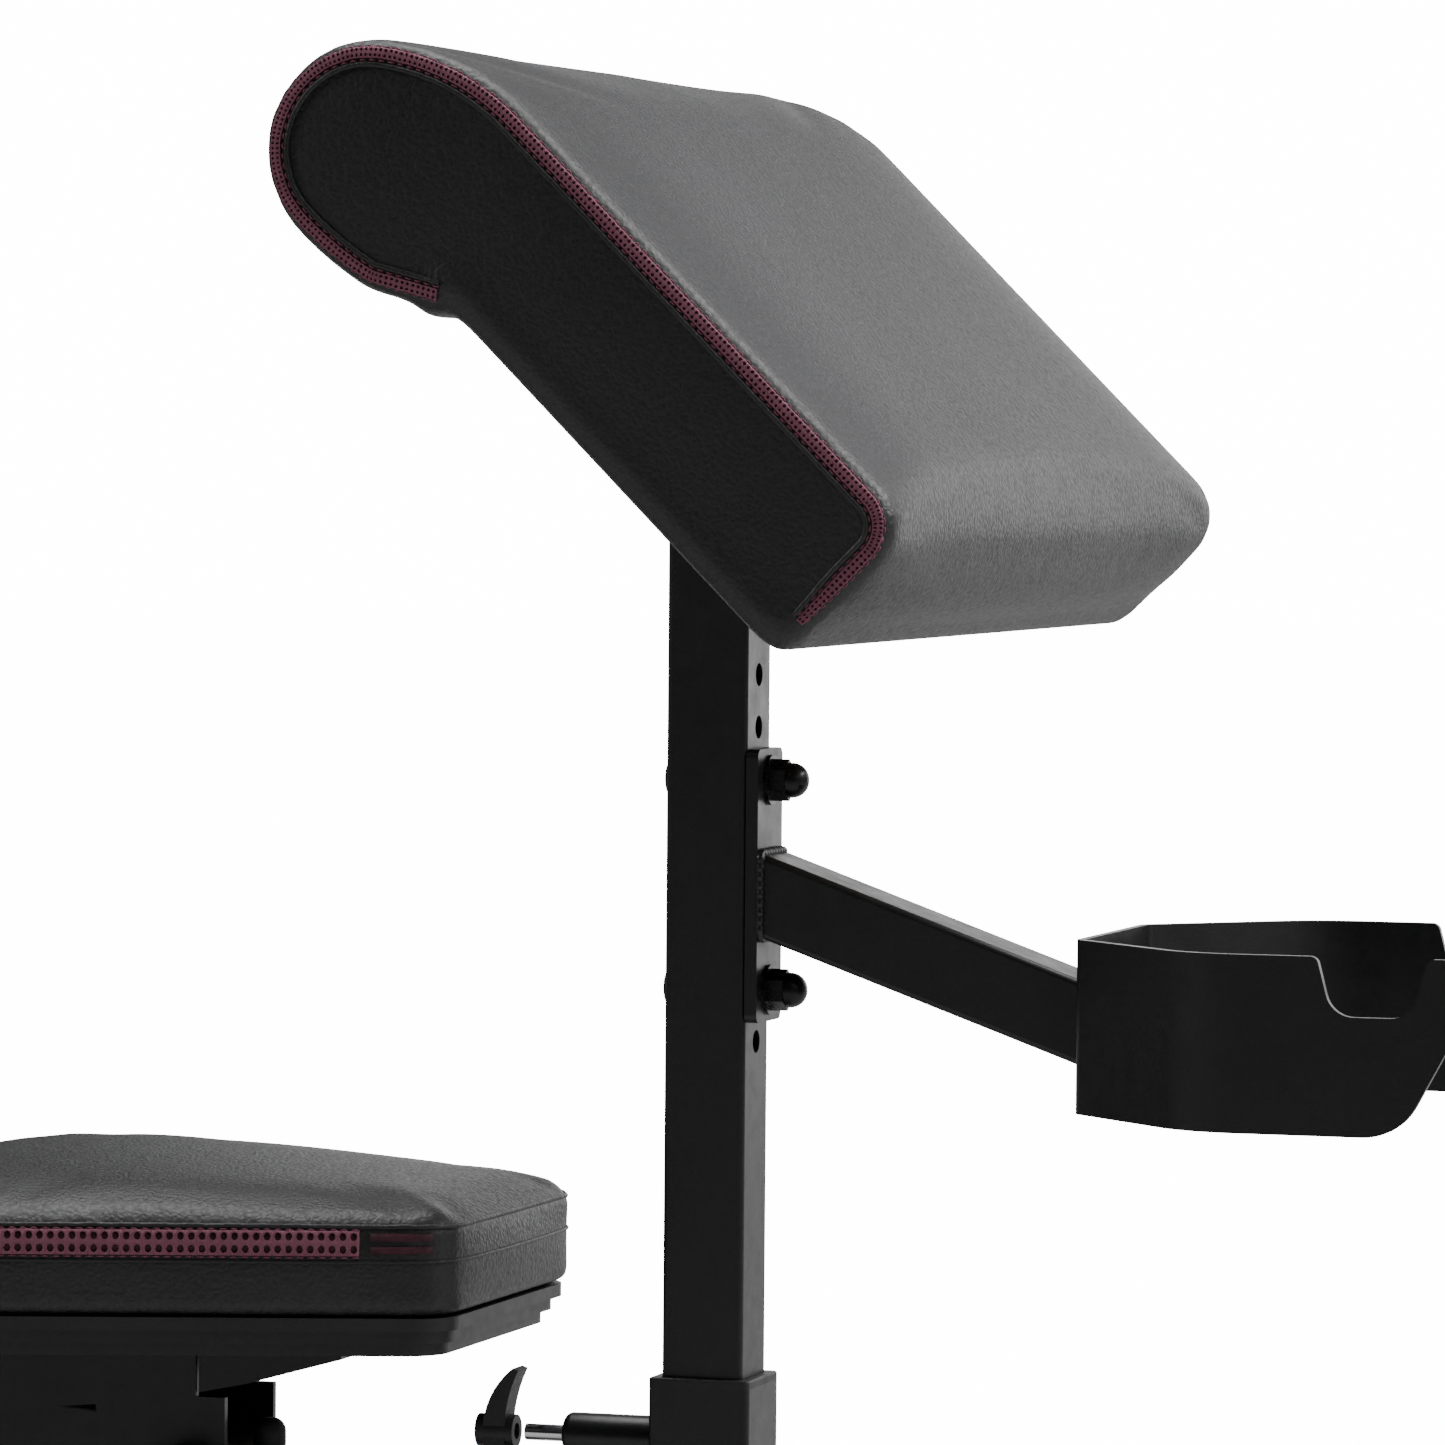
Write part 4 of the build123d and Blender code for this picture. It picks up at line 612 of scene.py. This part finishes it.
def box_cushion(node_name, body, voxel, cell, left_out, crown):
    """A crowned seat or back cushion with a perforated strip near the top of its side walls."""
    low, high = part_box(node_name)

    def held(place, normal):
        if normal.z < -0.6:
            return 1.0
        level = place.z - low.z
        wall = abs(normal.z) < 0.6
        if wall and level < 0.006:
            return 0.95
        depth = high.z - STRIP_TOP - place.z
        return 0.85 if wall and abs(depth) < 0.003 else 0.0

    def crowned(place, normal):
        if normal.z < 0.3:
            return Vector()
        across = 1 - (2 * (place.y - low.y) / (high.y - low.y) - 1) ** 2
        along = (high.x - place.x) / (high.x - low.x)
        rise = max(across, 0) * smooth_step(along, 0.05, 0.75) * smooth_step(normal.z, 0.3, 0.9)
        return Vector((0, 0, crown * rise))

    cushion = inflate(node_name, voxel, cap=CUSHION_SWELL, held=held, shrink=0.002, shape=crowned)
    skin = Skin(cushion)
    levels = [high.z - STRIP_TOP - STRIP_PITCH * k for k in range(STRIP_ROWS + 1)]
    loop = slice_loop(nodes[node_name], Vector((0, 0, levels[1])), Vector((0, 0, 1)))
    loop = even_steps(loop, cell)
    begin = max(range(len(loop)), key=lambda i: loop[i].x - abs(loop[i].y) * 0.2)
    loop = loop[begin:] + loop[:begin]
    rows = [[Vector((p.x, p.y, z)) for z in levels] for p in loop]
    runs = []
    current = []
    for row in rows:
        if left_out(row[0]):
            if len(current) > 3:
                runs.append(current)
            current = []
        else:
            current.append(row)
    if len(current) > 3:
        runs.append(current)
    for k, run in enumerate(runs):
        stem = node_name.replace("_pad", "")
        trim(plain_ribbon(f"{stem}_strip_back_{k}", skin, run, 0.0003, maroon_cloth), body)
        trim(net_ribbon(f"{stem}_strip_net_{k}", skin, run, 0.66, 0.0011, maroon_net), body)
        for edge, z in (("upper", levels[0] + 0.0008), ("lower", levels[-1] - 0.0008)):
            line = [Vector((row[0].x, row[0].y, z)) for row in run]
            trim(stitches(f"{stem}_{edge}_stitches_{k}", skin, line, pitch=0.0052, length=0.0036,
                          radius=0.00045, lift=0.0011, material=maroon_thread), body)
    pipes = ((levels[0] + 0.0032, 0.0013), (levels[-1] - 0.003, 0.0009))
    for k, (z, radius) in enumerate(pipes):
        pipe = [skin.lay(Vector((p.x, p.y, z)), 0.0002) for p in loop]
        trim(tube_along(f"{node_name}_seam_{k}", pipe, radius, vinyl, closed=True), body)
    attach(cushion, body)
    return skin, loop, levels[0]


# The seat's perforated strip stops short of its front, and two narrow tapes go on to the corner.
_, seat_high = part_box("seat_pad")
STRIP_STOP = 0.038
TAPE_START = STRIP_STOP + 0.001
TAPE_STOP = 0.006
CORNER_OUT = 0.06
TAPES = {"upper": (0.001, 0.005), "lower": (0.0075, 0.011)}
seat_skin, seat_loop, strip_level = box_cushion(
    "seat_pad", "seat", voxel=0.005, cell=0.0051, crown=0.009,
    left_out=lambda p: p.x > seat_high.x - STRIP_STOP)
box_cushion("back_pad", "backrest", voxel=0.008, cell=0.0054, crown=0.004, left_out=lambda p: False)
for side, sign in (("right", -1), ("left", 1)):
    corner = [p for p in seat_loop
              if p.y * sign > CORNER_OUT and seat_high.x - TAPE_START < p.x < seat_high.x - TAPE_STOP]
    corner.sort(key=lambda p: p.x)
    for part, drops in TAPES.items():
        rows = [[Vector((p.x, p.y, strip_level - drop)) for drop in drops] for p in corner]
        trim(plain_ribbon(f"seat_{side}_corner_{part}", seat_skin, rows, 0.0006, maroon_cloth), "seat")


# ---------------------------------------------------------------- weld beads
def hash_place(place):
    """A short whole number that tells two welds on one part from each other."""
    return round(place.x * 1000) + round(place.y * 1000) * 7 + round(place.z * 1000) * 13


def weld_round(node_name, place, normal, body, radius=0.0021):
    """A rippled fillet weld round a tube, just where it ends on another part."""
    loop = slice_loop(nodes[node_name], place, normal)
    loop = even_steps(loop, 0.0012)
    bead = tube_along(f"{node_name}_weld_{abs(hash_place(place))}", loop, radius, weld_steel, sides=8,
                      closed=True, ripple=0.16, period=0.0042)
    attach(bead, body)


ARM_WELD_IN = 0.0012
FOOT_WELD_UP = 0.0015
arm_low, arm_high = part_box("yoke_arm")
for end in (arm_low.x + ARM_WELD_IN, arm_high.x - ARM_WELD_IN):
    weld_round("yoke_arm", Vector((end, 0, 0)), Vector((1, 0, 0)), "curl_station")
FEET = {"receiver": "front_foot", "left_upright": "left_base", "right_upright": "right_base"}
for tube, foot in FEET.items():
    _, foot_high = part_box(foot)
    weld_round(tube, Vector((0, 0, foot_high.z + FOOT_WELD_UP)), Vector((0, 0, 1)), "frame")

# ---------------------------------------------------------------- camera
# Placed from the curl post's axis at the top of its receiver, with the photo's angle and lens.
receiver_low, receiver_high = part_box("receiver")
post_axis = Vector(((receiver_low.x + receiver_high.x) / 2, 0, receiver_high.z + 4 * MM))
CAMERA_YAW = math.radians(17.22)
CAMERA_PITCH = math.radians(2.10)
CAMERA_ROLL = math.radians(-0.47)
CAMERA_PLACE = Vector((1.1091, -3.5724, 0.449))
LENS = 195.5
SENSOR = 36.0
camera_data = bpy.data.cameras.new("camera")
camera_data.lens = LENS
camera_data.sensor_width = SENSOR
camera_data.clip_start = 0.05
camera_data.clip_end = 100.0
camera = bpy.data.objects.new("camera", camera_data)
level = math.cos(CAMERA_PITCH)
ahead = Vector((-math.sin(CAMERA_YAW) * level, math.cos(CAMERA_YAW) * level, -math.sin(CAMERA_PITCH)))
right = ahead.cross(Vector((0, 0, 1))).normalized()
up = right.cross(ahead)
rolled_right = math.cos(CAMERA_ROLL) * right - math.sin(CAMERA_ROLL) * up
rolled_up = math.sin(CAMERA_ROLL) * right + math.cos(CAMERA_ROLL) * up
turn = Matrix((rolled_right, rolled_up, -ahead)).transposed()
camera.matrix_world = Matrix.Translation(post_axis + CAMERA_PLACE) @ turn.to_4x4()
bpy.context.scene.collection.objects.link(camera)
bpy.context.scene.camera = camera

# ---------------------------------------------------------------- floor
# It shines for camera rays alone, so it stays as white as the backdrop without lighting the bench.
FLOOR_HALF = 30.0
FLOOR_SHINE = 18.0
FLOOR_SHINE_SHARE = 0.85
floor_mesh = bpy.data.meshes.new("floor")
floor_mesh.from_pydata(
    [(-FLOOR_HALF, -FLOOR_HALF, 0), (FLOOR_HALF, -FLOOR_HALF, 0), (FLOOR_HALF, FLOOR_HALF, 0),
     (-FLOOR_HALF, FLOOR_HALF, 0)], [], [(0, 1, 2, 3)])
floor = bpy.data.objects.new("floor", floor_mesh)
floor.location.z = -0.0005
bpy.context.scene.collection.objects.link(floor)
floor_material, floor_tree, floor_shader, floor_place = new_material("pale_floor")
floor_drift = noise(floor_tree, floor_place, 1.5, 3.0)
floor_colour = ramp(floor_tree, floor_drift.outputs["Fac"], [(0.3, 0.40), (0.7, 0.44)])
floor_tree.links.new(floor_colour.outputs["Color"], floor_shader.inputs["Base Color"])
floor_shader.inputs["Roughness"].default_value = 0.7
floor_mesh.materials.append(floor_material)
floor_shine = floor_tree.nodes.new("ShaderNodeEmission")
floor_shine.inputs["Strength"].default_value = FLOOR_SHINE
floor_rays = floor_tree.nodes.new("ShaderNodeLightPath")
floor_mix = floor_tree.nodes.new("ShaderNodeMixShader")
floor_share = floor_tree.nodes.new("ShaderNodeMath")
floor_share.operation = "MULTIPLY"
floor_share.inputs[1].default_value = FLOOR_SHINE_SHARE
floor_tree.links.new(floor_rays.outputs["Is Camera Ray"], floor_share.inputs[0])
floor_tree.links.new(floor_share.outputs["Value"], floor_mix.inputs["Fac"])
floor_tree.links.new(floor_shader.outputs["BSDF"], floor_mix.inputs[1])
floor_tree.links.new(floor_shine.outputs["Emission"], floor_mix.inputs[2])
floor_tree.links.new(floor_mix.outputs["Shader"], floor_tree.nodes["Material Output"].inputs["Surface"])


# ---------------------------------------------------------------- light
def area_light(name, place, aim, size, power):
    """A rectangular soft light that looks at a point."""
    data = bpy.data.lights.new(name, "AREA")
    data.shape = "RECTANGLE"
    data.size, data.size_y = size
    data.energy = power
    light = bpy.data.objects.new(name, data)
    light.location = place
    light.rotation_mode = "QUATERNION"
    light.rotation_quaternion = (Vector(aim) - Vector(place)).to_track_quat("-Z", "Y")
    bpy.context.scene.collection.objects.link(light)


WORLD_STRENGTH = 1.0
BACKDROP_STRENGTH = 15.5
GLOW_FROM = Vector((0.55, 0.12, 0.83))
area_light("front_softbox", (3.2, 1.0, 3.3), (0.4, 0, 0.7), (2.2, 2.2), 125)
area_light("overhead_softbox", (0.0, 0.9, 4.2), (0.0, 0, 0.4), (3.5, 2.5), 130)
area_light("back_panel", (0.8, 5.0, 1.3), (0.0, 0, 0.9), (5.0, 2.2), 70)
area_light("left_rim", (-3.2, -1.6, 3.0), (0.3, 0, 0.8), (1.2, 1.6), 60)

world = bpy.data.worlds.new("studio")
world.use_nodes = True
bpy.context.scene.world = world
world_tree = world.node_tree
background = world_tree.nodes["Background"]
heading = world_tree.nodes.new("ShaderNodeTexCoord")
toward = world_tree.nodes.new("ShaderNodeVectorMath")
toward.operation = "DOT_PRODUCT"
toward.inputs[1].default_value = GLOW_FROM.normalized()
world_tree.links.new(heading.outputs["Generated"], toward.inputs[0])
glow = ramp(world_tree, toward.outputs["Value"], [(0.0, 0.02), (0.45, 0.05), (0.8, 0.8), (1.0, 1.3)])
world_tree.links.new(glow.outputs["Color"], background.inputs["Color"])
background.inputs["Strength"].default_value = WORLD_STRENGTH
backdrop = world_tree.nodes.new("ShaderNodeBackground")
backdrop.inputs["Color"].default_value = (1, 1, 1, 1)
backdrop.inputs["Strength"].default_value = BACKDROP_STRENGTH
rays = world_tree.nodes.new("ShaderNodeLightPath")
choose = world_tree.nodes.new("ShaderNodeMixShader")
world_tree.links.new(rays.outputs["Is Camera Ray"], choose.inputs["Fac"])
world_tree.links.new(background.outputs["Background"], choose.inputs[1])
world_tree.links.new(backdrop.outputs["Background"], choose.inputs[2])
world_tree.links.new(choose.outputs["Shader"], world_tree.nodes["World Output"].inputs["Surface"])
